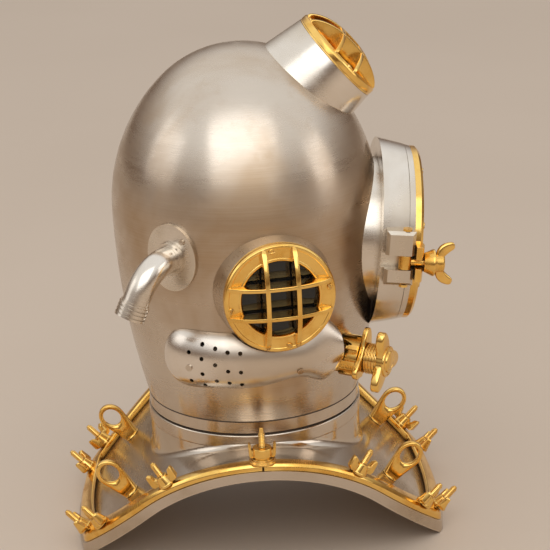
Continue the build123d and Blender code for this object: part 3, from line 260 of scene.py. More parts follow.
def bar(
    path: Array, side: Array, up: Array, widths: Array, depths: Array, power: float, sides: int
) -> Array:
    """A bar along a path: C + S w p(a) + U d q(a), with (p, q) its rounded section.

    With c and s the cosine and sine of a, the section is (sgn(c)|c|^(2/n), sgn(s)|s|^(2/n)).
    Power n = 2 is an ellipse, and a larger power comes nearer to a rectangle.

    Args:
        path: centre points C.
        side: directions S, one for all points or one for each.
        up: directions U, likewise.
        widths: half widths w along side.
        depths: half depths d along up.
        power: n, how square the section is.
        sides: points round the section.

    Returns:
        A grid of points, path rows by sides.
    """
    a = np.linspace(0, FULL_TURN, sides, endpoint=False)
    p, q = (np.sign(wave) * abs(wave) ** (2 / power) for wave in (np.cos(a), np.sin(a)))
    side, up = np.broadcast_to(side, path.shape), np.broadcast_to(up, path.shape)
    across = side[:, None] * (widths[:, None] * p)[..., None]
    along = up[:, None] * (depths[:, None] * q)[..., None]
    return path[:, None] + across + along


def blunt(count: int, share: float, power: float = 2.5) -> Array:
    """Shares of a bar's section that fall to nothing over its last part: (1 - v^p)^(1/p)."""
    v = np.clip((np.linspace(0, 1, count) - 1 + share) / share, 0, 1)
    return (1 - v**power) ** (1 / power)


def plate(outline: Array, levels: Array) -> Array:
    """A flat shape with shaped edges: the outline drawn in by N inset, at each height.

    Args:
        outline: (x, y) points, anticlockwise, with no point repeated at the end.
        levels: rows of (inset, height) from the bottom to the top.

    Returns:
        A grid of points on the shape's own seat, levels by outline points.
    """
    ahead = np.roll(outline, -1, axis=0) - np.roll(outline, 1, axis=0)
    normal = np.stack([ahead[:, 1], -ahead[:, 0]], axis=-1)
    normal /= np.linalg.norm(normal, axis=1, keepdims=True)
    flat = outline[None] - normal[None] * levels[:, None, :1]
    height = np.broadcast_to(levels[:, None, 1:2], flat[..., :1].shape)
    return np.concatenate([flat, height], axis=-1)


def grid_faces(rows: int, columns: int) -> Array:
    """Faces of a grid whose last column joins the first: (i, j), (i, j+1), (i+1, j+1), (i+1, j).

    Args:
        rows: the grid's rows.
        columns: the grid's columns.

    Returns:
        The numbers of four points in each row.
    """
    index = np.arange(rows * columns).reshape(rows, columns)
    index = np.concatenate([index, index[:, :1]], axis=1)
    around = [index[:-1, :-1], index[:-1, 1:], index[1:, 1:], index[1:, :-1]]
    return np.stack(around, axis=-1).reshape(-1, 4)


class Skin:
    """The surface of one piece, gathered grid by grid and then made into a mesh."""

    def __init__(self, name: str) -> None:
        """Starts an empty surface for the named piece."""
        self.name = name
        self.points: list[Array] = []
        self.faces: list[Array] = []
        self.count = 0

    def add(self, points: Array, ends: bool = True) -> "Skin":
        """Adds a grid of points, whose last column joins the first.

        Args:
            points: rows by columns of points in millimetres.
            ends: whether the first and last rows are closed at their middles.

        Returns:
            This surface.
        """
        if ends:
            first = np.broadcast_to(points[:1].mean(axis=1, keepdims=True), points[:1].shape)
            last = np.broadcast_to(points[-1:].mean(axis=1, keepdims=True), points[-1:].shape)
            points = np.concatenate([first, points, last])
        rows, columns = points.shape[:2]
        self.points.append(points.reshape(-1, 3))
        self.faces.append(self.count + grid_faces(rows, columns))
        self.count += rows * columns
        return self

    def lathe(self, seat: Seat, corners: Corners, sides: int, ring: bool = False) -> "Skin":
        """Adds a solid turned from an open outline, or a ring turned from a closed one."""
        return self.add(turned(seat, rounded(corners, ring), sides), ends=not ring)

    def piece(
        self, body: str, finish: "Finish", nodes: tuple[str, ...] = (), crease: float = 34.0
    ) -> None:
        """Makes the mesh, closes its seams and poles and puts the piece on its body.

        Args:
            body: the body that the piece rides on.
            finish: the piece's finish.
            nodes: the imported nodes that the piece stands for.
            crease: angle in degrees above which an edge stays sharp.
        """
        corners = (np.concatenate(self.points) * MM).astype(np.float32)
        quads = np.concatenate(self.faces).astype(np.int32)
        mesh = bpy.data.meshes.new(self.name)
        mesh.vertices.add(len(corners))
        mesh.vertices.foreach_set("co", corners.ravel())
        mesh.loops.add(quads.size)
        mesh.loops.foreach_set("vertex_index", quads.ravel())
        mesh.polygons.add(len(quads))
        mesh.polygons.foreach_set("loop_start", np.arange(0, quads.size, 4, dtype=np.int32))
        mesh.update(calc_edges=True)
        work = bmesh.new()
        work.from_mesh(mesh)
        bmesh.ops.remove_doubles(work, verts=work.verts, dist=MERGE_REACH)
        bmesh.ops.dissolve_degenerate(work, edges=work.edges, dist=SLIVER_EDGE)
        bmesh.ops.recalc_face_normals(work, faces=work.faces)
        work.to_mesh(mesh)
        work.free()
        finished(mesh, self.name, body, finish, nodes, crease)


def finished(
    mesh: bpy.types.Mesh, name: str, body: str, finish: "Finish", nodes: tuple[str, ...], crease: float
) -> Piece:
    """Puts a mesh in the scene as a piece of the helmet.

    Args:
        mesh: the piece's mesh, its place in its vertices.
        name: the piece's name.
        body: the body that it rides on.
        finish: its finish.
        nodes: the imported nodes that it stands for.
        crease: angle in degrees above which an edge stays sharp.

    Returns:
        The new object.
    """
    mesh.polygons.foreach_set("use_smooth", np.ones(len(mesh.polygons), dtype=bool))
    mesh.set_sharp_from_angle(angle=math.radians(crease))
    mesh.materials.clear()
    mesh.materials.append(finish.material())
    thing = bpy.data.objects.new(name, mesh)
    bpy.context.scene.collection.objects.link(thing)
    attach(thing, body)
    if nodes:
        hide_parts(*nodes)
    LOG.info("%s: %d faces on %s", name, len(mesh.polygons), body)
    return thing


# Finishes


class Wiring:
    """A node tree, with short calls for the nodes that the finishes and the room share."""

    def __init__(self, tree: bpy.types.NodeTree) -> None:
        """Takes a tree and empties it."""
        self.tree = tree
        self.tree.nodes.clear()

    def feed(self, socket: Socket, value: Value) -> None:
        """Links a value into a socket, or sets it there.

        Args:
            socket: the input that is fed.
            value: another node's output, or a number, vector or colour.
        """
        if isinstance(value, bpy.types.NodeSocket):
            self.tree.links.new(value, socket)
        else:
            socket.default_value = value

    def fill(self, node: Node, inputs: dict[Union[str, int], Value]) -> Node:
        """Feeds a node's inputs, by name or number.

        Args:
            node: the node that is fed.
            inputs: what goes into each input.

        Returns:
            The same node.
        """
        for name, value in inputs.items():
            self.feed(node.inputs[name], value)
        return node

    def node(self, kind: str, inputs: Union[dict, None] = None) -> Node:
        """A new node of a kind, its inputs fed."""
        return self.fill(self.tree.nodes.new(f"ShaderNode{kind}"), inputs or {})

    def noise(
        self, vector: Socket, scale: float, detail: float = 3.0, roughness: float = 0.5, twist: float = 0.0
    ) -> Socket:
        """Noise of the given scale per metre, from 0 to 1."""
        sizes = {"Scale": scale, "Detail": detail, "Roughness": roughness, "Distortion": twist}
        return self.node("TexNoise", {"Vector": vector, **sizes}).outputs["Fac"]

    def cells(self, vector: Socket, scale: float) -> Socket:
        """Distance to the nearest point of a scattered set, for pores and pits."""
        return self.node("TexVoronoi", {"Vector": vector, "Scale": scale}).outputs["Distance"]

    def sums(self, operation: str, a: Value, b: Value, clamp: bool = False) -> Socket:
        """The named arithmetic on two values.

        Args:
            operation: Blender's name for it.
            a: the first value.
            b: the second value.
            clamp: whether the result is held between 0 and 1.

        Returns:
            The result.
        """
        node = self.node("Math", {0: a, 1: b})
        node.operation = operation
        node.use_clamp = clamp
        return node.outputs[0]

    def vectors(self, operation: str, a: Value, b: Value = (0, 0, 0)) -> bpy.types.NodeOutputs:
        """The named vector arithmetic on two values.

        Args:
            operation: Blender's name for it.
            a: the first vector.
            b: the second vector.

        Returns:
            The node's outputs, Vector and Value.
        """
        node = self.node("VectorMath", {0: a, 1: b})
        node.operation = operation
        return node.outputs

    def span(
        self, value: Socket, low: float, high: float, to_low: float = 0.0, to_high: float = 1.0
    ) -> Socket:
        """Carries a value smoothly from one range to another, and holds it there.

        Args:
            value: the value.
            low: where the first range starts.
            high: where it ends.
            to_low: what low becomes.
            to_high: what high becomes.

        Returns:
            The carried value.
        """
        ends = {"From Min": low, "From Max": high, "To Min": to_low, "To Max": to_high}
        node = self.node("MapRange", {"Value": value, **ends})
        node.interpolation_type = "SMOOTHSTEP"
        return node.outputs["Result"]

    def blend(self, share: Socket, a: Value, b: Value) -> Socket:
        """Passes colour a into colour b.

        Args:
            share: how much of b there is, from 0 to 1.
            a: the first colour.
            b: the second colour.

        Returns:
            The mixed colour.
        """
        node = self.node("Mix", {"Factor": share})
        node.data_type = "RGBA"
        for name, colour in (("A", a), ("B", b)):
            socket = [s for s in node.inputs if s.name == name and s.type == "RGBA"][0]
            self.feed(socket, (*colour, 1.0) if isinstance(colour, tuple) else colour)
        return [s for s in node.outputs if s.type == "RGBA"][0]


class Bench(Wiring):
    """The node tree of one material, with the coordinates and masks that finishes share."""

    def __init__(self, name: str) -> None:
        """Starts a material with a Principled shader wired to its output."""
        self.material = bpy.data.materials.new(name)
        self.material.use_nodes = True
        super().__init__(self.material.node_tree)
        self.shader = self.node("BsdfPrincipled")
        self.node("OutputMaterial", {"Surface": self.shader.outputs["BSDF"]})
        self.place: Socket = self.node("TexCoord").outputs["Object"]

    def coat(self, inputs: dict[str, Value]) -> None:
        """Feeds the material's shader."""
        self.fill(self.shader, inputs)

    def bump(
        self, height: Socket, distance: float, strength: float, below: Union[Socket, None] = None
    ) -> Socket:
        """The surface's normal roughened by a height.

        Args:
            height: the height, from 0 to 1.
            distance: how high 1 is.
            strength: how much of the bump shows.
            below: a roughened normal that this one adds to.

        Returns:
            The roughened normal.
        """
        rest = {} if below is None else {"Normal": below}
        node = self.node("Bump", {"Height": height, "Distance": distance, "Strength": strength, **rest})
        return node.outputs["Normal"]

    def lathe_marks(self, centre: Point, axis: Point) -> Socket:
        """Coordinates that change only along an axis and away from it, for turned marks.

        With D = P - centre, they are (D . axis, |D x axis|, 0).

        Args:
            centre: a point on the axis.
            axis: its unit direction.

        Returns:
            The coordinates.
        """
        offset = self.vectors("SUBTRACT", self.place, centre)["Vector"]
        along = self.vectors("DOT_PRODUCT", offset, axis)["Value"]
        square = self.vectors("CROSS_PRODUCT", offset, axis)["Vector"]
        away = self.vectors("LENGTH", square)["Value"]
        return self.node("CombineXYZ", {"X": along, "Y": away}).outputs["Vector"]

    def stretched(self, scale: Point, turn: Point = (0.0, 0.0, 0.0)) -> Socket:
        """Object coordinates turned and stretched, for a grain with a direction."""
        mapping = self.node("Mapping", {"Vector": self.place, "Rotation": turn, "Scale": scale})
        return mapping.outputs["Vector"]

    def edges(self, radius: float, patches: Socket, least: float) -> Socket:
        """How bare the edges are rubbed, from 0 to 1.

        It is 1 - N . N', with N' the normal eased over the edge, and less where the patches
        are low.

        Args:
            radius: width of an eased edge.
            patches: noise that the rubbing follows.
            least: share of the rubbing that is left between the patches.

        Returns:
            The share of bare metal.
        """
        eased = self.node("Bevel", {"Radius": radius})
        eased.samples = 4
        normal = self.node("NewGeometry").outputs["Normal"]
        same = self.vectors("DOT_PRODUCT", eased.outputs["Normal"], normal)["Value"]
        near = self.span(self.sums("SUBTRACT", 1.0, same), 0.01, 0.16)
        return self.sums("MULTIPLY", near, self.span(patches, 0.3, 0.6, least, 1.0))

    def hollow_shade(self, reach: float, clear: float, most: float) -> Socket:
        """How much painted shade darkens the colour where the surface is shut in, found by ambient
        occlusion.

        Args:
            reach: distance within which another surface shuts it in.
            clear: share of the sky that may be shut off before painted shade shows.
            most: painted shade in the tightest corner.

        Returns:
            The share of painted shade, from 0 to most.
        """
        # Painted shade: one minus ambient occlusion darkens the colour in corners and recesses
        sky = self.node("AmbientOcclusion", {"Distance": reach})
        sky.samples = 6
        shut = self.sums("SUBTRACT", 1.0, sky.outputs["AO"])
        return self.sums("MULTIPLY", self.span(shut, clear, 0.95), most)


class Finish(ABC):
    """A finish that makes its material once and hands the same one out again."""

    slot: Slot
    name: str
    made: dict[str, bpy.types.Material] = {}

    @abstractmethod
    def paint(self, bench: Bench) -> None:
        """Builds the finish's nodes."""

    def material(self) -> bpy.types.Material:
        """The finish's material, made when it is first asked for.

        Returns:
            The material.
        """
        if self.name not in Finish.made:
            bench = Bench(self.name)
            self.paint(bench)
            Finish.made[self.name] = bench.material
        return Finish.made[self.name]


@dataclass(frozen=True)
class SatinNickel(Finish):
    """Nickel plate rubbed to a satin, warmed partly by tarnish and partly by painted warm reflection, with
    marks that follow the turning.
    """

    name: str = "nickel_bonnet"
    centre: Point = (0.0, 0.0, 0.0)
    axis: Point = (0.0, 0.0, 1.0)
    bright: Colour = (0.63, 0.545, 0.455)
    # Warm brown of the clouds: partly tarnish, partly painted warm reflection of the room
    tarnish_and_reflection: Colour = (0.47, 0.335, 0.215)
    worn: Colour = (0.72, 0.62, 0.49)
    # Painted shade: the colour that corners and recesses are darkened towards
    shade_colour: Colour = (0.15, 0.095, 0.05)
    roughness: float = 0.23
    marks: float = 1.0
    spun: float = 0.0
    slot: Slot = Slot.NICKEL

    def paint(self, bench: Bench) -> None:
        """Clouds of warmer tone, partly tarnish and partly painted warm reflection, turned marks, fine
        rubbing, faint dents, bright edges, and painted shade in corners and recesses.
        """
        clouds = bench.noise(bench.place, 6.5, 4.0, 0.55, 0.4)
        stains = bench.noise(bench.place, 38.0, 5.0, 0.65)
        turning = bench.lathe_marks(self.centre, self.axis)
        rings = bench.noise(turning, 1100.0, 2.0, 0.6)
        bands = bench.noise(turning, 60.0, 2.0)
        grain = bench.stretched((90.0, 90.0, 900.0), (0.5, 0.3, 0.0))
        rubbing = bench.noise(grain, 1.0, 3.0, 0.6)
        stained = bench.span(stains, 0.5, 0.85, 0.0, 0.35)
        age = bench.sums("ADD", bench.span(clouds, 0.36, 0.66), stained, True)
        # Clouds of warm brown: partly tarnish, partly painted warm reflection of the room
        tone = bench.blend(age, self.bright, self.tarnish_and_reflection)
        lined = bench.blend(bench.span(rings, 0.3, 0.75, 0.0, 0.14 * self.marks), tone, self.worn)
        bared = bench.blend(bench.edges(0.0012, stains, 0.45), lined, self.worn)
        # Painted shade from ambient occlusion darkens the colour in corners and recesses
        shut = bench.hollow_shade(0.007, 0.35, 0.75)
        banded = bench.span(bands, 0.3, 0.7, -0.03, 0.04)
        sheen = bench.sums("ADD", banded, bench.span(rubbing, 0.3, 0.7, -0.02, 0.03))
        aged = bench.span(age, 0.0, 1.0, self.roughness - 0.03, self.roughness + 0.09)
        matt = bench.sums("ADD", aged, sheen)
        beaten = bench.bump(bench.noise(bench.place, 14.0, 1.0), 0.003, 0.04)
        lines = bench.bump(rings, 0.00002, 0.06 * self.marks, beaten)
        bench.coat({
            "Base Color": bench.blend(shut, bared, self.shade_colour),
            "Metallic": 1.0,
            "Roughness": bench.sums("ADD", matt, bench.span(shut, 0.0, 0.75, 0.0, 0.3), True),
            "Normal": bench.bump(rubbing, 0.00001, 0.04, lines),
        })
        if self.spun:
            tangent = bench.node("Tangent")
            tangent.direction_type = "RADIAL"
            tangent.axis = "Z"
            upright = {"Anisotropic": self.spun, "Anisotropic Rotation": 0.25}
            bench.coat({"Tangent": tangent.outputs["Tangent"], **upright})


@dataclass(frozen=True)
class PolishedBrass(Finish):
    """Brass polished on its faces, with painted shade in its corners and paler along its edges."""

    name: str = "brass_polished"
    bright: Colour = (0.94, 0.60, 0.17)
    deep: Colour = (0.80, 0.44, 0.09)
    worn: Colour = (0.98, 0.74, 0.34)
    # Painted shade: the colour that corners and recesses are darkened towards
    shade_colour: Colour = (0.13, 0.065, 0.02)
    roughness: float = 0.14
    slot: Slot = Slot.BRASS

    def paint(self, bench: Bench) -> None:
        """Slow changes of tone, file marks, pits, pale edges and painted shade in the corners."""
        clouds = bench.noise(bench.place, 30.0, 4.0, 0.6)
        spots = bench.noise(bench.place, 160.0, 4.0, 0.7)
        filed = bench.noise(bench.stretched((60.0, 900.0, 260.0), (0.4, 0.2, 0.7)), 1.0, 2.0, 0.5)
        pits = bench.cells(bench.place, 700.0)
        spotted = bench.span(spots, 0.58, 0.8, 0.0, 0.4)
        age = bench.sums("ADD", bench.span(clouds, 0.4, 0.72), spotted, True)
        tone = bench.blend(age, self.bright, self.deep)
        bared = bench.blend(bench.edges(0.0008, spots, 0.5), tone, self.worn)
        # Painted shade from ambient occlusion darkens the colour in corners and recesses
        shut = bench.hollow_shade(0.005, 0.3, 0.8)
        aged = bench.span(age, 0.0, 1.0, self.roughness - 0.02, self.roughness + 0.12)
        matt = bench.sums("ADD", aged, bench.span(filed, 0.3, 0.7, -0.03, 0.05))
        lines = bench.bump(filed, 0.00006, 0.3, bench.bump(clouds, 0.0008, 0.12))
        bench.coat({
            "Base Color": bench.blend(shut, bared, self.shade_colour),
            "Metallic": 1.0,
            "Roughness": bench.sums("ADD", matt, bench.span(shut, 0.0, 0.8, 0.0, 0.35), True),
            "Normal": bench.bump(bench.span(pits, 0.0, 0.35), 0.00004, 0.25, lines),
        })


@dataclass(frozen=True)
class OiledLeather(Finish):
    """Washer leather, dark with oil, with its pores and pressed edges."""

    name: str = "leather_oiled"
    dark: Colour = (0.035, 0.022, 0.014)
    pale: Colour = (0.10, 0.062, 0.038)
    slot: Slot = Slot.LEATHER

    def paint(self, bench: Bench) -> None:
        """Mottled browns with pores and fine creases."""
        mottle = bench.noise(bench.place, 55.0, 5.0, 0.6)
        creases = bench.noise(bench.stretched((160.0, 160.0, 700.0)), 1.0, 4.0, 0.6, 0.6)
        pores = bench.cells(bench.place, 1100.0)
        colour = bench.blend(bench.span(mottle, 0.35, 0.75), self.dark, self.pale)
        grain = bench.bump(bench.span(pores, 0.0, 0.5), 0.00012, 0.5)
        bench.coat({
            "Base Color": bench.blend(bench.span(pores, 0.0, 0.3, 0.5, 0.0), colour, self.dark),
            "Roughness": bench.span(mottle, 0.3, 0.7, 0.48, 0.72),
            "Normal": bench.bump(creases, 0.0003, 0.5, grain),
        })


@dataclass(frozen=True)
class PortGlass(Finish):
    """Thick plate glass, coloured near black as painted shade of the dark inside, slightly wavy, with
    smears and dust.
    """

    name: str = "glass_port"
    # Near black colour: painted shade of the dark inside seen through the glass
    tint: Colour = (0.022, 0.024, 0.024)
    dust: Colour = (0.11, 0.10, 0.09)
    slot: Slot = Slot.GLASS

    def paint(self, bench: Bench) -> None:
        """Glass coloured near black as painted shade of the inside, mirroring the room, with faint smears
        and a wavy face.
        """
        smears = bench.noise(bench.stretched((26.0, 26.0, 60.0)), 1.0, 4.0, 0.6, 0.8)
        specks = bench.noise(bench.place, 420.0, 3.0, 0.7)
        specked = bench.span(specks, 0.66, 0.82, 0.0, 0.25)
        veil = bench.sums("ADD", bench.span(smears, 0.52, 0.8, 0.0, 0.20), specked, True)
        bench.coat({
            "Base Color": bench.blend(veil, self.tint, self.dust),
            "Roughness": bench.span(veil, 0.0, 0.4, 0.03, 0.22),
            "IOR": 1.52,
            "Transmission Weight": 0.55,
            "Normal": bench.bump(bench.noise(bench.place, 20.0, 1.0), 0.001, 0.06),
        })


@dataclass(frozen=True)
class BlackRubber(Finish):
    """Moulded rubber gone dull."""

    name: str = "rubber_dull"
    dark: Colour = (0.018, 0.018, 0.019)
    pale: Colour = (0.055, 0.053, 0.05)
    slot: Slot = Slot.RUBBER

    def paint(self, bench: Bench) -> None:
        """Bloomed black with a fine grain."""
        bloom = bench.noise(bench.place, 70.0, 4.0, 0.6)
        bench.coat({
            "Base Color": bench.blend(bench.span(bloom, 0.4, 0.7), self.dark, self.pale),
            "Roughness": bench.span(bloom, 0.3, 0.7, 0.55, 0.75),
            "Normal": bench.bump(bench.noise(bench.place, 900.0, 2.0), 0.0001, 0.3),
        })


@dataclass(frozen=True)
class FloorPaint(Finish):
    """Plain pale floor paint with the least change of tone."""

    name: str = "floor_paint"
    pale: Colour = (0.64, 0.51, 0.395)
    slot: Slot = Slot.RUBBER

    def paint(self, bench: Bench) -> None:
        """A matt pale colour with slow mottling."""
        slow = bench.noise(bench.place, 1.3, 3.0)
        darker = tuple(0.97 * c for c in self.pale)
        bench.coat({
            "Base Color": bench.blend(bench.span(slow, 0.3, 0.7), self.pale, darker),
            "Roughness": bench.span(slow, 0.3, 0.7, 0.55, 0.65),
        })


def nickel_about(name: str, seat: Seat, marks: float, roughness: float) -> SatinNickel:
    """Pale satin nickel whose turned marks go round a seat's axis.

    Args:
        name: the material's name.
        seat: the seat, whose z is the axis.
        marks: how strong the turned marks are.
        roughness: how rough the plate is.

    Returns:
        The finish.
    """
    centre = tuple(float(c) * MM for c in seat.origin)
    axis = tuple(float(c) for c in seat.axes()[2])
    tones = {"bright": (0.80, 0.735, 0.655), "tarnish_and_reflection": (0.64, 0.55, 0.44)}
    return SatinNickel(name, centre, axis, marks=marks, roughness=roughness, **tones)


BRASS = PolishedBrass()
LEATHER = OiledLeather()
GLASS = PortGlass()
RUBBER = BlackRubber()
NICKEL = SatinNickel(roughness=0.27, spun=0.4)
PLATE_NICKEL = SatinNickel(name="nickel_breastplate", tarnish_and_reflection=(0.46, 0.36, 0.25), roughness=0.18, marks=0.2)
NECK_NICKEL = SatinNickel(name="nickel_neck", roughness=0.2, spun=0.55)
BAND_NICKEL = replace(NECK_NICKEL, name="nickel_band")
RING_NICKEL = replace(NECK_NICKEL, name="nickel_ring")
CHANNEL_NICKEL = SatinNickel(
    name="nickel_channel", bright=(0.80, 0.73, 0.65), tarnish_and_reflection=(0.64, 0.54, 0.43), marks=0.2, roughness=0.24
)
SCREW_NICKEL = SatinNickel(name="nickel_screws", marks=0.0, roughness=0.22)


def dress(finish: Finish, *nodes: str) -> None:
    """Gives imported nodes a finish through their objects' material slots.

    Args:
        finish: the finish.
        nodes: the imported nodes.
    """
    for node in nodes:
        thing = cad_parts[node]
        if not thing.material_slots:
            thing.data.materials.append(None)
        for place in thing.material_slots:
            place.link = "OBJECT"
            place.material = finish.material()
        LOG.info("%s: packed node in %s", node, finish.name)


def eased_copy(node: str, body: Body, finish: Finish, width: float, angle: float = 38.0) -> None:
    """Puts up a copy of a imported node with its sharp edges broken, as a file leaves them.

    Args:
        node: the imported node, which the copy stands for.
        body: the body that it rides on.
        finish: its finish.
        width: width of the broken edges.
        angle: angle in degrees above which an edge is broken.
    """
    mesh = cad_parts[node].data.copy()
    if "custom_normal" in mesh.attributes:
        mesh.attributes.remove(mesh.attributes["custom_normal"])
    work = bmesh.new()
    work.from_mesh(mesh)
    bmesh.ops.remove_doubles(work, verts=work.verts, dist=MERGE_REACH)
    flat = math.radians(FLAT_ANGLE)
    bmesh.ops.dissolve_limit(work, angle_limit=flat, verts=work.verts, edges=work.edges)
    work.to_mesh(mesh)
    work.free()
    thing = finished(mesh, f"{node}_eased", body.value, finish, (node,), angle)
    soft = thing.modifiers.new("broken edges", "BEVEL")
    soft.width = width * MM
    soft.segments = 2
    soft.limit_method = "ANGLE"
    soft.angle_limit = math.radians(angle)
    soft.harden_normals = True


# Small parts shared by the sub-assemblies


def screw_head(skin: Skin, seat: Seat, radius: float, height: float, slot_turn: float) -> None:
    """A cheese head with a slot: a thin disc under two D shaped halves.

    Args:
        skin: the surface that the head is added to.
        seat: where the head's underside sits.
        radius: the head's radius.
        height: the head's height.
        slot_turn: turn of the slot in degrees.
    """
    floor = height * 0.5
    skin.lathe(seat, [(POLE, 0, 0), (radius, 0, 0), (radius, floor, 0.1), (POLE, floor, 0)], 28)
    gap = radius * 0.16
    reach = math.acos(gap / radius)
    a = np.linspace(-reach, reach, 18)
    half = np.stack([radius * np.cos(a), radius * np.sin(a)], axis=-1)
    rises = [(0, 0.3), (0, 0.72), (0.08, 0.9), (0.22, 1)]
    levels = np.array([(radius * inset, height * rise) for inset, rise in rises])
    for turn in (0.0, 180.0):
        skin.add(seat.turned(slot_turn + turn).place(plate(half, levels)))


def thread_profile(radius: float, start: float, end: float, pitch: float, depth: float) -> Array:
    """Thread ridges drawn as rings: r = R - depth (1 + cos(2 pi h / pitch)) / 2.

    Args:
        radius: crest radius.
        start: first height.
        end: last height.
        pitch: distance between crests.
        depth: depth of the grooves.

    Returns:
        Rows of radius and height.
    """
    h = np.linspace(start, end, int(round((end - start) / pitch)) * 6 + 1)
    return np.stack([radius - depth * (1 + np.cos(FULL_TURN * (h - start) / pitch)) / 2, h], axis=-1)


@dataclass
class WingNut:
    """A wing nut: a foot, a tapered hub and two upright ears, drawn by distance and height."""

    foot_radius: float = 8.0
    foot_height: float = 2.0
    hub_low: float = 7.4
    hub_high: float = 5.4
    hub_height: float = 8.5
    bore: float = 3.3
    flange_radius: float = 0.0
    flange_height: float = 0.0
    ear_thickness: float = 7.6
    ear_taper: float = 0.4
    ear: Corners = (
        (3.8, 2.1, 0.3), (12.1, 2.1, 1.2), (14.2, 4.4, 1.6), (14.4, 14.4, 1.0),
        (13.2, 15.9, 0.7), (9.4, 13.8, 1.0), (7.9, 9.2, 1.4), (3.8, 8.4, 0.3),
    )

    def build(self, skin: Skin, seat: Seat) -> None:
        """Adds the nut's surfaces, standing on the seat with its ears along its x.

        Args:
            skin: the surface that the nut is added to.
            seat: where its underside sits.
        """
        bore, edge, lift = self.bore, self.flange_radius, self.flange_height
        if lift:
            flange = [
                (bore, 0, 0), (edge, 0, 0.3), (edge, 1.6, 0.5), (edge - 1.3, 2.0, 0.3),
                (edge - 1.4, 2.9, 0.4), (edge - 3.0, 3.1, 0.3), (edge - 3.2, lift, 0.4), (bore, lift, 0),
            ]
            skin.lathe(seat, flange, 44, ring=True)
        step = lift + self.foot_height
        top = step + self.hub_height
        hub = [
            (bore, lift, 0), (self.foot_radius, lift, 0.2), (self.foot_radius, step, 0.7),
            (self.hub_low, step + 0.3, 0.4), (self.hub_low - 0.2, step + 1.2, 0.4),
            (self.hub_high, top, 0.8), (bore, top, 0.4),
        ]
        skin.lathe(seat, hub, 40, ring=True)
        half = self.ear_thickness / 2
        lower = [(0.9, -half), (0.25, 0.25 - half), (0.0, 0.9 - half)]
        upper = [(0.0, half - 0.9), (0.25, half - 0.25), (0.9, half)]
        grid = plate(rounded(self.ear, True)[:-1], np.array(lower + upper))
        highest = max(corner[1] for corner in self.ear)
        grid[..., 2] *= 1.0 - self.ear_taper * grid[..., 1] / highest
        for side in (-1, 1):
            upright = np.stack([side * grid[..., 0], grid[..., 2], lift + grid[..., 1]], axis=-1)
            skin.add(seat.place(upright))


def shoulder_nut() -> WingNut:
    """The flanged nut of a shoulder, with a stout hub and narrow ears."""
    ear = (
        (7.5, 1.0, 0.3), (11.6, 1.0, 1.0), (12.4, 3.5, 1.5), (12.9, 14.4, 1.0),
        (11.9, 15.6, 0.5), (10.5, 14.0, 1.0), (9.9, 9.0, 1.5), (7.5, 8.2, 0.3),
    )
    flange = {"flange_radius": 12.5, "flange_height": 4.0}
    return WingNut(hub_low=9.4, hub_high=8.9, ear_thickness=6.5, ear_taper=0.2, ear=ear, **flange)


@dataclass
class Stud:
    """A threaded stud of the rim, with a narrower plain tip."""

    rise: float = 26.0
    tip: float = 2.0
    radius: float = 3.15
    root: float = 5.0
    thread_below_top: float = 1.6
    plain_foot: float = 8.0
    pitch: float = 1.5
    depth: float = 0.32

    def build(self, skin: Skin, seat: Seat) -> None:
        """Adds the stud, from inside the plate up to its rounded tip.

        Args:
            skin: the surface that the stud is added to.
            seat: where the stud leaves the plate.
        """
        top = STRAP_THICKNESS + self.rise
        neck, crest = top - self.tip, top - self.thread_below_top
        count = int((top - self.plain_foot) / self.pitch)
        thread = thread_profile(self.radius, crest - count * self.pitch, crest, self.pitch, self.depth)
        thread = thread[thread[:, 1] < neck - 0.4]
        bared = [(3.0, neck - 0.3, 0), (2.9, neck, 0.2), (2.0, neck + 0.3, 0.3)]
        tip = rounded([*bared, (1.9, top, 0.9), (POLE, top, 0)])
        foot = np.array([(self.radius, -self.root), (self.radius, thread[0, 1] - 0.1)])
        skin.add(turned(seat, np.vstack([foot, thread, tip]), 24))


# Breastplate


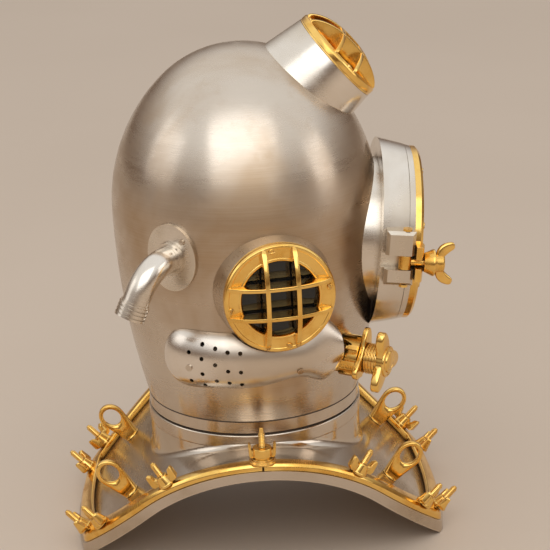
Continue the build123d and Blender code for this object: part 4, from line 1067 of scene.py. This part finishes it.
@dataclass
class Breastplate:
    """The arched plate with its brailes, studs, nuts and eyelets."""

    half_length: float = 181.0
    half_width: float = 162.0
    corner: tuple[float, float] = (84.0, 174.0)
    corner_round: float = 24.0
    arch_crown: float = 111.0
    arch_radius: float = 165.0
    leg_angle: float = 42.75
    strap_margin: float = 1.5
    strap_width: float = 14.5
    strap_seam: float = 2.0
    side_nuts: tuple[float, float] = (85.5, 150.0)
    end_nut: float = 70.0
    wing_turns: tuple[float, ...] = (0.0, 10.8, -9.0, 7.2, -12.6, 9.0, -5.4, 12.6, -10.8, 5.4, 9.0, -7.2)
    eye_place: tuple[float, float] = (68.0, 125.0)
    eye_rise: float = 29.0
    eye_hole: float = 8.3
    eye_ring: float = 12.3
    eye_shank: float = 7.3
    eye_stretch: float = 1.18
    eye_root: float = 1.5
    eye_thickness: float = 7.0
    neck_band: Corners = (
        (102.2, 108.0, 0), (103.5, 108.2, 0.4), (103.8, 109.6, 0.8),
        (103.8, 120.6, 0.7), (103.1, 121.4, 0.3), (102.2, 121.3, 0),
    )
    nut: WingNut = field(default_factory=WingNut)
    flanged_nut: WingNut = field(default_factory=shoulder_nut)
    stud: Stud = field(default_factory=Stud)
    shoulder_stud: Stud = field(default_factory=lambda: Stud(rise=34.0, tip=5.5))

    def side_curve(self) -> float:
        """Radius of the plan's curve along a shoulder."""
        x, y = self.corner
        return (y**2 + (self.half_width - x) ** 2) / (2 * (self.half_width - x))

    def end_curve(self) -> float:
        """Radius of the plan's curve along the front or back."""
        x, y = self.corner
        return (x**2 + (self.half_length - y) ** 2) / (2 * (self.half_length - y))

    def strap_middle(self) -> float:
        """Distance of the strap's middle line from the plate's edge."""
        return self.strap_margin + self.strap_width / 2

    def height(self, y: Array, lift: Union[Array, float] = 0.0) -> Array:
        """Height of the arch raised by a lift.

        Within the crown it is c + sqrt(R^2 - y^2), and beyond it the leg falls straight.

        Args:
            y: distances from the shoulders' line.
            lift: distance off the plate.

        Returns:
            The heights.
        """
        leg = math.radians(self.leg_angle)
        r = self.arch_radius + lift
        c = self.arch_crown - self.arch_radius
        turn = r * math.sin(leg)
        crown = c + np.sqrt(np.clip(r**2 - np.minimum(abs(y), turn) ** 2, 0, None))
        return crown - np.clip(abs(y) - turn, 0, None) * math.tan(leg)

    def seat(self, x: float, y: float, along: Point) -> Seat:
        """A seat on the plate's outer surface.

        Args:
            x: its place across the plate.
            y: its place along the plate.
            along: direction that its own x is turned towards.

        Returns:
            The seat, square to the plate.
        """
        leg = math.radians(self.leg_angle)
        angle = min(math.asin(min(abs(y) / self.arch_radius, 1)), leg)
        normal = (0.0, math.copysign(math.sin(angle), y), math.cos(angle))
        return Seat((x, y, float(self.height(np.array(y)))), along, normal)

    def plain_seats(self) -> list[Seat]:
        """Seats of the twelve plain nuts, on the strap's middle line.

        Returns:
            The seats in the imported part's order.
        """
        middle = self.strap_middle()
        side_r, end_r = self.side_curve(), self.end_curve()
        seats = []
        for side in (-1, 1):
            for end in (-1, 1):
                for reach in self.side_nuts:
                    x = self.half_width - side_r + math.sqrt((side_r - middle) ** 2 - reach**2)
                    along = (-side * reach, end * (x - self.half_width + side_r), 0.0)
                    seats.append(self.seat(side * x, end * reach, along))
                y = self.half_length - end_r + math.sqrt((end_r - middle) ** 2 - self.end_nut**2)
                seats.append(self.seat(side * self.end_nut, end * y, (1.0, 0.0, 0.0)))
        return seats

    def shoulder_seats(self) -> list[Seat]:
        """Seats of the two flanged nuts on the shoulders, the wearer's right first."""
        x = self.half_width - self.strap_middle()
        return [self.seat(side * x, 0.0, (0.0, 1.0, 0.0)) for side in (-1, 1)]

    def outline(self, steps: int) -> tuple[Array, Array]:
        """One quarter of the plan, from the shoulder to the middle of an end.

        Two arcs of the plan's curves are joined by a corner arc that touches both.

        Args:
            steps: points on each arc.

        Returns:
            The points and their outward directions.
        """
        side_r, end_r, round_r = self.side_curve(), self.end_curve(), self.corner_round
        a = np.array([self.half_width - side_r, 0.0])
        b = np.array([0.0, self.half_length - end_r])
        far_a, far_b = side_r - round_r, end_r - round_r
        gap = b - a
        distance = np.linalg.norm(gap)
        share = (far_a**2 - far_b**2 + distance**2) / (2 * distance)
        drop = math.sqrt(far_a**2 - share**2)
        across = np.array([-gap[1], gap[0]]) / distance
        c = a + gap / distance * share + across * drop
        first = math.atan2(*(c - a)[::-1])
        second = math.atan2(*(c - b)[::-1])
        side_arc = np.linspace(0, first, steps * 2)[:-1]
        corner_arc = np.linspace(first, second, steps)[:-1]
        angles = np.concatenate([side_arc, corner_arc, np.linspace(second, math.pi / 2, steps)])
        normal = np.stack([np.cos(angles), np.sin(angles)], axis=-1)
        on_side, on_corner = (angles < first)[:, None], (angles < second)[:, None]
        middle = np.where(on_side, a, np.where(on_corner, c, b))
        radius = np.where(on_side, side_r, np.where(on_corner, round_r, end_r))
        return middle + normal * radius, normal

    def braile(self, end: int) -> Array:
        """One half of the strap: a rounded bar carried round the plan on the arch.

        A section point with inset i and lift l lies at Q - N i in plan, at the arch's
        height there raised by l.

        Args:
            end: -1 for the front half and 1 for the back half.

        Returns:
            A grid of points, stations by section points.
        """
        points, normal = self.outline(30)
        points = np.vstack([points, points[-2::-1] * (-1, 1)])
        normal = np.vstack([normal, normal[-2::-1] * (-1, 1)])
        points[0, 1] = points[-1, 1] = self.strap_seam / 2
        inner, outer = self.strap_margin + self.strap_width, self.strap_margin
        top = STRAP_THICKNESS
        corners = [
            (outer, 0.1, 0.4), (outer, top * 0.6, 2.6), (outer + 2.2, top, 2.4),
            ((inner + outer) / 2, top + 0.25, 30.0),
            (inner - 2.0, top, 2.4), (inner, top * 0.55, 2.2), (inner, 0.1, 0.4),
        ]
        section = rounded(corners, True, 6)[:-1]
        plan = points[:, None] - normal[:, None] * section[None, :, :1]
        z = self.height(plan[..., 1], section[None, :, 1])
        return np.stack([plan[..., 0], plan[..., 1], z], axis=-1) * (1, end, 1)

    def eyelet(self, skin: Skin, seat: Seat) -> None:
        """Adds an eye: a band round a hole, whose flanks run on as tangents to a thick shank.

        With f the angle from straight down, the outside lies at D / cos f on the base, at
        R / cos(t - f) along a flank that touches the ring at t, and at R round the ring. The
        eye is then drawn out in height, and the shank thickens evenly towards the plate.

        Args:
            skin: the surface that the eye is added to.
            seat: where it stands on the plate.
        """
        low = SEAT_GAP
        foot = [(POLE, low, 0), (8.2, low, 0.2), (8.2, 0.9, 0.5), (6.8, 1.9, 1.2), (POLE, 2.6, 0)]
        skin.lathe(seat, foot, 40)
        hole, ring, base = self.eye_hole, self.eye_ring, self.eye_shank
        rise = (self.eye_rise + self.eye_root) / self.eye_stretch
        a = np.linspace(0, FULL_TURN, 121)
        away = abs(a - math.pi)
        corner = math.atan2(base, rise)
        touch = corner + math.acos(ring / math.hypot(base, rise))
        flank = ring / np.cos(touch - np.clip(away, corner, touch))
        reach = np.where(away < corner, rise / np.cos(np.minimum(away, corner)), flank)
        out = np.stack([0 * a, -np.sin(a), np.cos(a)], axis=-1)
        middle = np.array([0.0, 0.0, self.eye_rise]) + out * (hole + reach)[:, None] / 2
        widths = np.full(a.shape, self.eye_thickness / 2)
        web = bar(middle, X_AXIS, out, widths, (reach - hole) / 2, 3.2, 28)
        web[..., 2] = self.eye_rise + self.eye_stretch * (web[..., 2] - self.eye_rise)
        web[..., 0] *= 1 + 0.5 * np.clip(1 - web[..., 2] / (self.eye_rise - 9), 0, 1)
        skin.add(seat.place(web), ends=False)

    def build(self) -> None:
        """Builds the straps, studs, nuts and eyelets and dresses the plate."""
        body = Body.BREASTPLATE
        dress(PLATE_NICKEL, "breastplate")
        eased_copy("breastplate_neck_ring", body, NECK_NICKEL, 0.7)
        dress(LEATHER, "neck_gasket")
        Skin("neck_band").lathe(NECK_SEAT, self.neck_band, 192, ring=True).piece(body.value, BAND_NICKEL)
        Skin("strap_front").add(self.braile(-1)).piece(body.value, BRASS, ("front_braile",))
        Skin("strap_back").add(self.braile(1)).piece(body.value, BRASS, ("back_braile",))
        studs = Skin("rim_studs")
        rim = STRAP_THICKNESS + SEAT_GAP
        for index, (seat, turn) in enumerate(zip(self.plain_seats(), self.wing_turns), 1):
            self.stud.build(studs, seat)
            nut = Skin(f"rim_nut_{index:02d}")
            self.nut.build(nut, seat.lifted(rim).turned(turn))
            nut.piece(f"wing_nut_{index:02d}", BRASS, (f"wing_nut_{index:02d}",))
        for side, seat in zip(("right", "left"), self.shoulder_seats()):
            self.shoulder_stud.build(studs, seat)
            nut = Skin(f"{side}_flanged_nut")
            self.flanged_nut.build(nut, seat.lifted(rim))
            nut.piece(f"{side}_shoulder_nut", BRASS, (f"{side}_shoulder_nut",))
        studs.piece(body.value, BRASS, ("studs",))
        eyes = Skin("plate_eyes")
        x, y = self.eye_place
        for side in (-1, 1):
            for end in (-1, 1):
                self.eyelet(eyes, self.seat(side * x, end * y, (1.0, 0.0, 0.0)))
        eyes.piece(body.value, BRASS, ("eyelets",))


# Bonnet and its fittings


@dataclass
class BarredPort:
    """A side or top port: collar, washer, glass and the barred bezel."""

    side: str
    seat: Seat
    bezel: float
    opening: float
    bar_offset: float
    thickness: float = 8.0
    crown: float = 15.7
    foot: float = 4.5
    screw_radius: float = 2.6
    screw_height: float = 1.9
    screw_turn: float = 8.0

    def rim(self) -> Corners:
        """The bezel's section: a flat lip with a bead at the opening and an eased outer edge."""
        inner, outer, top = self.opening, self.bezel, self.thickness
        bead = [
            (inner, 0.05, 0.2), (inner, top * 0.72, 0.8), (inner + 1.4, top + 0.1, 0.9),
            (inner + 3.2, top + 0.1, 0.5), (inner + 3.7, top - 0.5, 0.4),
        ]
        lip = [
            (outer - 4.4, top - 0.35, 0.5), (outer - 3.9, top, 0.5), (outer - 1.3, top - 0.1, 1.2),
            (outer, top - 2.0, 1.2), (outer, 2.0, 0.6), (outer - 0.5, 1.4, 0.3),
            (outer - 0.1, 0.8, 0.3), (outer - 0.3, 0.05, 0.2),
        ]
        return bead + lip

    def bars(self, skin: Skin) -> None:
        """Adds two flat fronted upright bars and two deep blades across them.

        A bar's back is level, and its front rises as E + (C - E)(1 - |u|^2.4)^0.75 over its
        length, which makes each a D seen from its side.

        Args:
            skin: the surface that the bars are added to.
        """
        reach = math.sqrt((self.bezel - 1.6) ** 2 - self.bar_offset**2)
        count = 49
        u = np.sin(np.linspace(-math.pi / 2, math.pi / 2, count))
        low, end, high = self.foot, self.thickness + 0.4, self.thickness + self.crown
        front = end + (high - end) * (1 - abs(u) ** 2.4) ** 0.75
        taper = np.sqrt(np.clip(1 - abs(u) ** 40, 0.0004, 1))
        for upright, half_width, share, power in ((True, 2.3, 1.0, 11.0), (False, 2.0, 0.985, 8.0)):
            side = X_AXIS if upright else Y_AXIS
            depth = (front - low) / 2 * share
            for offset in (-self.bar_offset, self.bar_offset):
                plan = [np.full(count, offset), u * reach]
                path = np.stack([*(plan if upright else plan[::-1]), (front + low) / 2], axis=-1)
                grid = bar(path, side, Z_AXIS, half_width * taper, depth, power, 32)
                skin.add(self.seat.place(grid))

    def screws(self, skin: Skin) -> None:
        """Adds the four slotted heads on the bezel.

        Args:
            skin: the surface that the heads are added to.
        """
        circle = (self.bezel + self.opening + 5.5) / 2
        for index in range(4):
            a = math.radians(self.screw_turn + 90.0 * index)
            place = self.seat.moved(circle * math.cos(a), circle * math.sin(a), self.thickness - 0.6)
            screw_head(skin, place, self.screw_radius, self.screw_height, 25.0 + 67.0 * index)

    def build(self, screws: Skin) -> None:
        """Builds the guard and dresses the port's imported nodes.

        Args:
            screws: the surface that the bezel's screws are added to.
        """
        guard = Skin(f"{self.side}_guard").lathe(self.seat, self.rim(), 128, ring=True)
        self.bars(guard)
        guard.piece(Body.BONNET.value, BRASS, (f"{self.side}_port_guard",))
        self.screws(screws)
        collar = nickel_about(f"nickel_{self.side}_port", self.seat, 1.2, 0.22)
        dress(collar, f"{self.side}_port_collar")
        dress(LEATHER, f"{self.side}_port_gasket")
        dress(GLASS, f"{self.side}_port_glass")


@dataclass
class FrontPort:
    """The hinged front port with its swing bolt, pins and the nut that holds it."""

    seat: Seat = outward_seat(0.0, -6.0, 297.0, 0.0)
    bezel_front: float = 159.9
    pivot_x: float = -91.0
    screw_circle: float = 75.0
    screw_count: int = 8
    screw_radius: float = 3.2
    screw_height: float = 2.0

    def nut(self) -> Skin:
        """The big nut: a cone foot, a hub with grooves and two broad raised wings.

        Returns:
            The nut's surface.
        """
        base = self.seat.moved(self.pivot_x, 0.0, self.bezel_front + 0.3)
        hub = [
            (3.7, 0, 0), (8.6, 0, 0.3), (12.5, 8.2, 0.8), (12.5, 10.0, 0.8), (9.8, 10.4, 0.4),
            (9.4, 11.6, 0.4), (9.0, 12.2, 0.3), (8.6, 17.4, 0.8), (7.4, 19.0, 0.8), (3.7, 19.0, 0.3),
        ]
        skin = Skin("door_nut_winged").lathe(base, hub, 48, ring=True)
        for side in (-1, 1):
            centre = bowed([(0, side * 5.6, 14.6), (0, side * 15.0, 15.6), (0, side * 17.8, 28.0)], 30)
            ahead = np.gradient(centre, axis=0)
            ahead /= np.linalg.norm(ahead, axis=1, keepdims=True)
            t = np.linspace(0, 1, len(centre))
            fade = blunt(len(centre), 0.16)
            wide = (3.5 + 1.6 * np.sin(math.pi * t) - 0.3 * t) * fade
            thick = (3.9 - 1.9 * t) * fade
            wing = bar(centre, np.cross(ahead, X_AXIS), X_AXIS, wide, thick, 3.4, 24)
            skin.add(base.place(wing))
        return skin

    def screws(self) -> Skin:
        """The slotted heads on the gold bezel.

        Returns:
            The heads' surface.
        """
        skin = Skin("door_bezel_screws")
        step = 360.0 / self.screw_count
        for index in range(self.screw_count):
            a = math.radians(step / 2 + step * index)
            x, y = self.screw_circle * math.cos(a), self.screw_circle * math.sin(a)
            place = self.seat.moved(x, y, self.bezel_front - 0.5)
            screw_head(skin, place, self.screw_radius, self.screw_height, 31.0 * index)
        return skin

    def build(self) -> None:
        """Builds the nut and screws and dresses the port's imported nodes."""
        plated = nickel_about("nickel_front_port", self.seat, 1.3, 0.22)
        eased_copy("front_port_ring", Body.BONNET, plated, 0.7)
        eased_copy("door_frame", Body.DOOR, plated, 0.5)
        eased_copy("door_bezel", Body.DOOR, BRASS, 0.7)
        eased_copy("swing_bolt", Body.SWING_BOLT, BRASS, 0.4)
        dress(BRASS, "hinge_pin", "swing_bolt_pin")
        dress(GLASS, "door_glass")
        dress(LEATHER, "door_gasket")
        self.nut().piece(Body.DOOR_NUT.value, BRASS, ("door_wing_nut",))
        self.screws().piece(Body.DOOR.value, BRASS, ("door_screws",))


@dataclass
class ExhaustValve:
    """The ribbed valve body, the three pointed flange and the handwheel."""

    seat: Seat = replace(outward_seat(27.0, -3.5, 0.0, 0.0), origin=(-83.0, -84.0, 191.0))
    waist: float = 14.0
    flange_tip: float = 29.0
    flange_turn: float = 80.0
    wheel_tip: float = 32.0
    wheel_turn: float = 105.0
    sleeve: float = 13.4
    ridge: float = 14.6
    ridge_pitch: float = 3.0
    ridge_count: int = 4

    def star(self, tip: float, turn: float, low: float, high: float, ease: float) -> Array:
        """A three pointed plate: r = w + (T - w)((1 + cos 3(a - a0)) / 2)^2.1.

        Each edge is a quarter circle.

        Args:
            tip: T, the reach of its points.
            turn: a0, the turn of the first point in degrees.
            low: height of its back.
            high: height of its face.
            ease: radius of its edges.

        Returns:
            A grid of points in the helmet's frame.
        """
        a = np.linspace(0, FULL_TURN, 144, endpoint=False)
        lobe = ((1 + np.cos(3 * (a - math.radians(turn)))) / 2) ** 2.1
        r = self.waist + (tip - self.waist) * lobe
        outline = np.stack([r * np.cos(a), r * np.sin(a)], axis=-1)
        b = np.linspace(0, math.pi / 2, 6)
        lower = np.stack([ease * (1 - np.sin(b)), low + ease * (1 - np.cos(b))], axis=-1)
        upper = np.stack([ease * (1 - np.cos(b)), high - ease * (1 - np.sin(b))], axis=-1)
        return self.seat.place(plate(outline, np.vstack([lower, upper])))

    def wheel(self) -> Skin:
        """The handwheel: a ridged sleeve, a thick star and a domed hub with rings.

        Returns:
            The wheel's surface.
        """
        sleeve = [(POLE, 23.35, 0), (self.sleeve, 23.35, 0.3)]
        for index in range(self.ridge_count):
            rise = self.ridge_pitch * index
            sleeve += [(self.sleeve, 24.2 + rise, 0.2), (self.ridge, 24.5 + rise, 0.4)]
            sleeve += [(self.ridge, 25.7 + rise, 0.4), (self.sleeve, 26.0 + rise, 0.2)]
        sleeve += [(self.sleeve, 36.0, 0.2), (POLE, 36.0, 0)]
        hub = [
            (POLE, 42.5, 0), (14.6, 42.5, 0.2), (14.6, 44.4, 0.9), (12.9, 45.0, 0.6),
            (12.3, 44.3, 0.4), (10.4, 44.5, 0.4), (9.6, 46.2, 0.9), (7.9, 46.5, 0.4),
            (7.5, 46.0, 0.3), (5.0, 46.8, 1.5), (POLE, 47.1, 0),
        ]
        skin = Skin("valve_handwheel").lathe(self.seat, sleeve, 64)
        skin.add(self.star(self.wheel_tip, self.wheel_turn, 35.3, 43.3, 2.0))
        return skin.lathe(self.seat, hub, 64)

    def build(self) -> None:
        """Builds the star and the wheel and dresses the valve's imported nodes."""
        eased_copy("exhaust_valve_body", Body.BONNET, BRASS, 0.5)
        flange = Skin("valve_star").add(self.star(self.flange_tip, self.flange_turn, 18.05, 23.0, 1.2))
        flange.piece(Body.BONNET.value, BRASS, ("exhaust_star_flange",))
        self.wheel().piece(Body.HANDWHEEL.value, BRASS, ("exhaust_handwheel",), 40.0)
        dress(BRASS, "exhaust_spring", "exhaust_disc")


@dataclass
class Bonnet:
    """The spun bonnet with its ports, elbows, exhaust and spitcock."""

    ports: tuple[BarredPort, ...] = (
        BarredPort("right", outward_seat(81.0, 0.0, 273.0, 141.0), 51.5, 35.0, 14.0),
        BarredPort("left", outward_seat(-81.0, 0.0, 273.0, 141.0), 51.5, 35.0, 14.0),
        BarredPort("top", outward_seat(0.0, 40.0, 381.0, 117.5), 47.5, 32.5, 12.5),
    )
    front: FrontPort = field(default_factory=FrontPort)
    valve: ExhaustValve = field(default_factory=ExhaustValve)
    elbow_turn: float = 124.5
    # Painted shade: a thin dark band in the leather finish stands for the shaded groove between the bonnet
    # and its neck ring
    groove_shade_band: Corners = (
        (101.6, 134.7, 0), (103.02, 134.8, 0.1), (103.12, 135.6, 0.2),
        (103.02, 136.4, 0.1), (101.6, 136.4, 0),
    )

    def build(self) -> None:
        """Builds the fittings in order and dresses the rest."""
        body = Body.BONNET
        dress(NICKEL, "bonnet")
        eased_copy("bonnet_neck_ring", body, RING_NICKEL, 0.9)
        # Painted shade: the dark band that stands for the shaded groove at the neck ring
        Skin("neck_groove_shade").lathe(NECK_SEAT, self.groove_shade_band, 192, ring=True).piece(body.value, LEATHER)
        screws = Skin("port_bezel_screws")
        for port in self.ports:
            port.build(screws)
        screws.piece(body.value, BRASS, ("port_screws",))
        self.front.build()
        self.valve.build()
        for side, turn in (("air", self.elbow_turn), ("telephone", -self.elbow_turn)):
            elbow = nickel_about(f"nickel_{side}_elbow", outward_seat(turn, 0.0, 304.0, 125.0), 0.5, 0.2)
            eased_copy(f"{side}_gooseneck", body, elbow, 0.6)
        dress(CHANNEL_NICKEL, "exhaust_channel")
        dress(SCREW_NICKEL, "channel_screws", "gooseneck_screws")
        dress(RUBBER, "air_check_valve")
        eased_copy("spitcock_body", body, BRASS, 0.5)
        eased_copy("spitcock_lever", Body.LEVER, BRASS, 0.5)


# Floor, light and camera


@dataclass
class Studio:
    """The pale floor, the soft lamps and the pale world round the helmet."""

    floor_drop: float = 0.0003
    floor_reach: float = 9.0
    horizon: Colour = (0.19, 0.13, 0.09)
    zenith: Colour = (0.97, 0.985, 1.0)
    bright_at: float = 0.7
    room_light: float = 0.85
    middle: Point = (0.0, -0.02, 0.25)

    def floor(self) -> None:
        """Lays the floor as a flat disc of rings round the helmet: (r cos a, r sin a, -drop)."""
        r = np.concatenate([np.linspace(0.001, 2, 9), np.linspace(2.5, self.floor_reach, 14)])[:, None]
        a = np.linspace(0, FULL_TURN, 64, endpoint=False)
        grid = np.stack([r * np.cos(a), r * np.sin(a), 0 * r * a - self.floor_drop], axis=-1)
        faces = grid_faces(*grid.shape[:2])[:, ::-1].tolist()
        mesh = bpy.data.meshes.new("studio_floor")
        mesh.from_pydata(grid.reshape(-1, 3).tolist(), [], faces + [list(range(len(a)))])
        mesh.materials.append(FloorPaint().material())
        thing = bpy.data.objects.new("studio_floor", mesh)
        bpy.context.scene.collection.objects.link(thing)
        thing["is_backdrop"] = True

    def lamp(self, name: str, place: Point, size: tuple[float, float], power: float, tint: Colour) -> None:
        """Hangs one soft rectangular lamp that faces the middle of the helmet.

        Args:
            name: the lamp's name.
            place: where it hangs.
            size: its width and height.
            power: power in watts.
            tint: colour of its light.
        """
        data = bpy.data.lights.new(name, "AREA")
        data.shape = "RECTANGLE"
        data.size, data.size_y = size
        data.energy = power
        data.color = tint
        thing = bpy.data.objects.new(name, data)
        thing.location = place
        thing.rotation_mode = "QUATERNION"
        thing.rotation_quaternion = (Vector(place) - Vector(self.middle)).to_track_quat("Z", "Y")
        bpy.context.scene.collection.objects.link(thing)

    def world(self) -> None:
        """Fills the room with pale light from above and a warmer tone at the horizon.

        The camera, gloss and glass see it at full strength, and it lights a little less.
        """
        world = bpy.data.worlds.new("studio_world")
        bpy.context.scene.world = world
        world.use_nodes = True
        wiring = Wiring(world.node_tree)
        around = wiring.node("TexCoord").outputs["Generated"]
        rise = wiring.node("SeparateXYZ", {"Vector": around}).outputs["Z"]
        share = wiring.span(rise, 0.0, self.bright_at)
        ray = wiring.node("LightPath").outputs
        seen = wiring.sums("MAXIMUM", ray["Is Camera Ray"], ray["Is Glossy Ray"])
        seen = wiring.sums("MAXIMUM", seen, ray["Is Transmission Ray"])
        sky = wiring.node("Background", {
            "Color": wiring.blend(share, self.horizon, self.zenith),
            "Strength": wiring.span(seen, 0.0, 1.0, self.room_light, 1.0),
        })
        wiring.node("OutputWorld", {"Surface": sky.outputs["Background"]})

    def build(self) -> None:
        """Lays the floor, hangs the lamps and sets the plain colour view."""
        self.floor()
        self.world()
        self.lamp("key_lamp", (-1.5, 0.05, 1.6), (2.1, 1.6), 13.0, (0.92, 0.96, 1.0))
        self.lamp("front_lamp", (-0.6, -2.0, 0.9), (0.8, 1.1), 3.0, (1.0, 0.98, 0.96))
        self.lamp("back_lamp", (-0.2, 2.0, 1.2), (1.2, 1.1), 3.0, (0.97, 0.985, 1.0))
        bpy.context.scene.view_settings.view_transform = "Standard"


@dataclass
class PhotoCamera:
    """A camera where the photograph was taken from."""

    target: Point = (0.0, -0.0255, 0.244)
    back: Point = (-0.94174, 0.04112, 0.33381)
    distance: float = 2.0
    roll: float = 2.5
    lens: float = 135.1
    sensor: float = 36.0
    sight: tuple[float, float] = (0.05, 60.0)

    def build(self) -> None:
        """Stands the camera back from the target and rolls it about its own axis."""
        data = bpy.data.cameras.new("photo_camera")
        data.sensor_width = self.sensor
        data.lens = self.lens
        data.clip_start, data.clip_end = self.sight
        thing = bpy.data.objects.new("photo_camera", data)
        back = Vector(self.back).normalized()
        right = Vector((0.0, 0.0, 1.0)).cross(back).normalized()
        up = back.cross(right)
        turn = math.radians(self.roll)
        across = right * math.cos(turn) - up * math.sin(turn)
        above = right * math.sin(turn) + up * math.cos(turn)
        pose = Matrix((across, above, back)).transposed().to_4x4()
        pose.translation = Vector(self.target) + back * self.distance
        thing.matrix_world = pose
        bpy.context.scene.collection.objects.link(thing)
        bpy.context.scene.camera = thing


def corners() -> list[list[float]]:
    """The helmet's box at this moment, as two lists of numbers."""
    return [[float(c) for c in corner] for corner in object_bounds()]


def main() -> None:
    """Builds the helmet's dressed pieces, the studio and the camera, in order."""
    logging.basicConfig(level=logging.INFO, format="%(name)s %(message)s", stream=sys.stdout)
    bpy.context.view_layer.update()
    Breastplate().build()
    Bonnet().build()
    Studio().build()
    PhotoCamera().build()


if __name__ == "__main__":
    main()
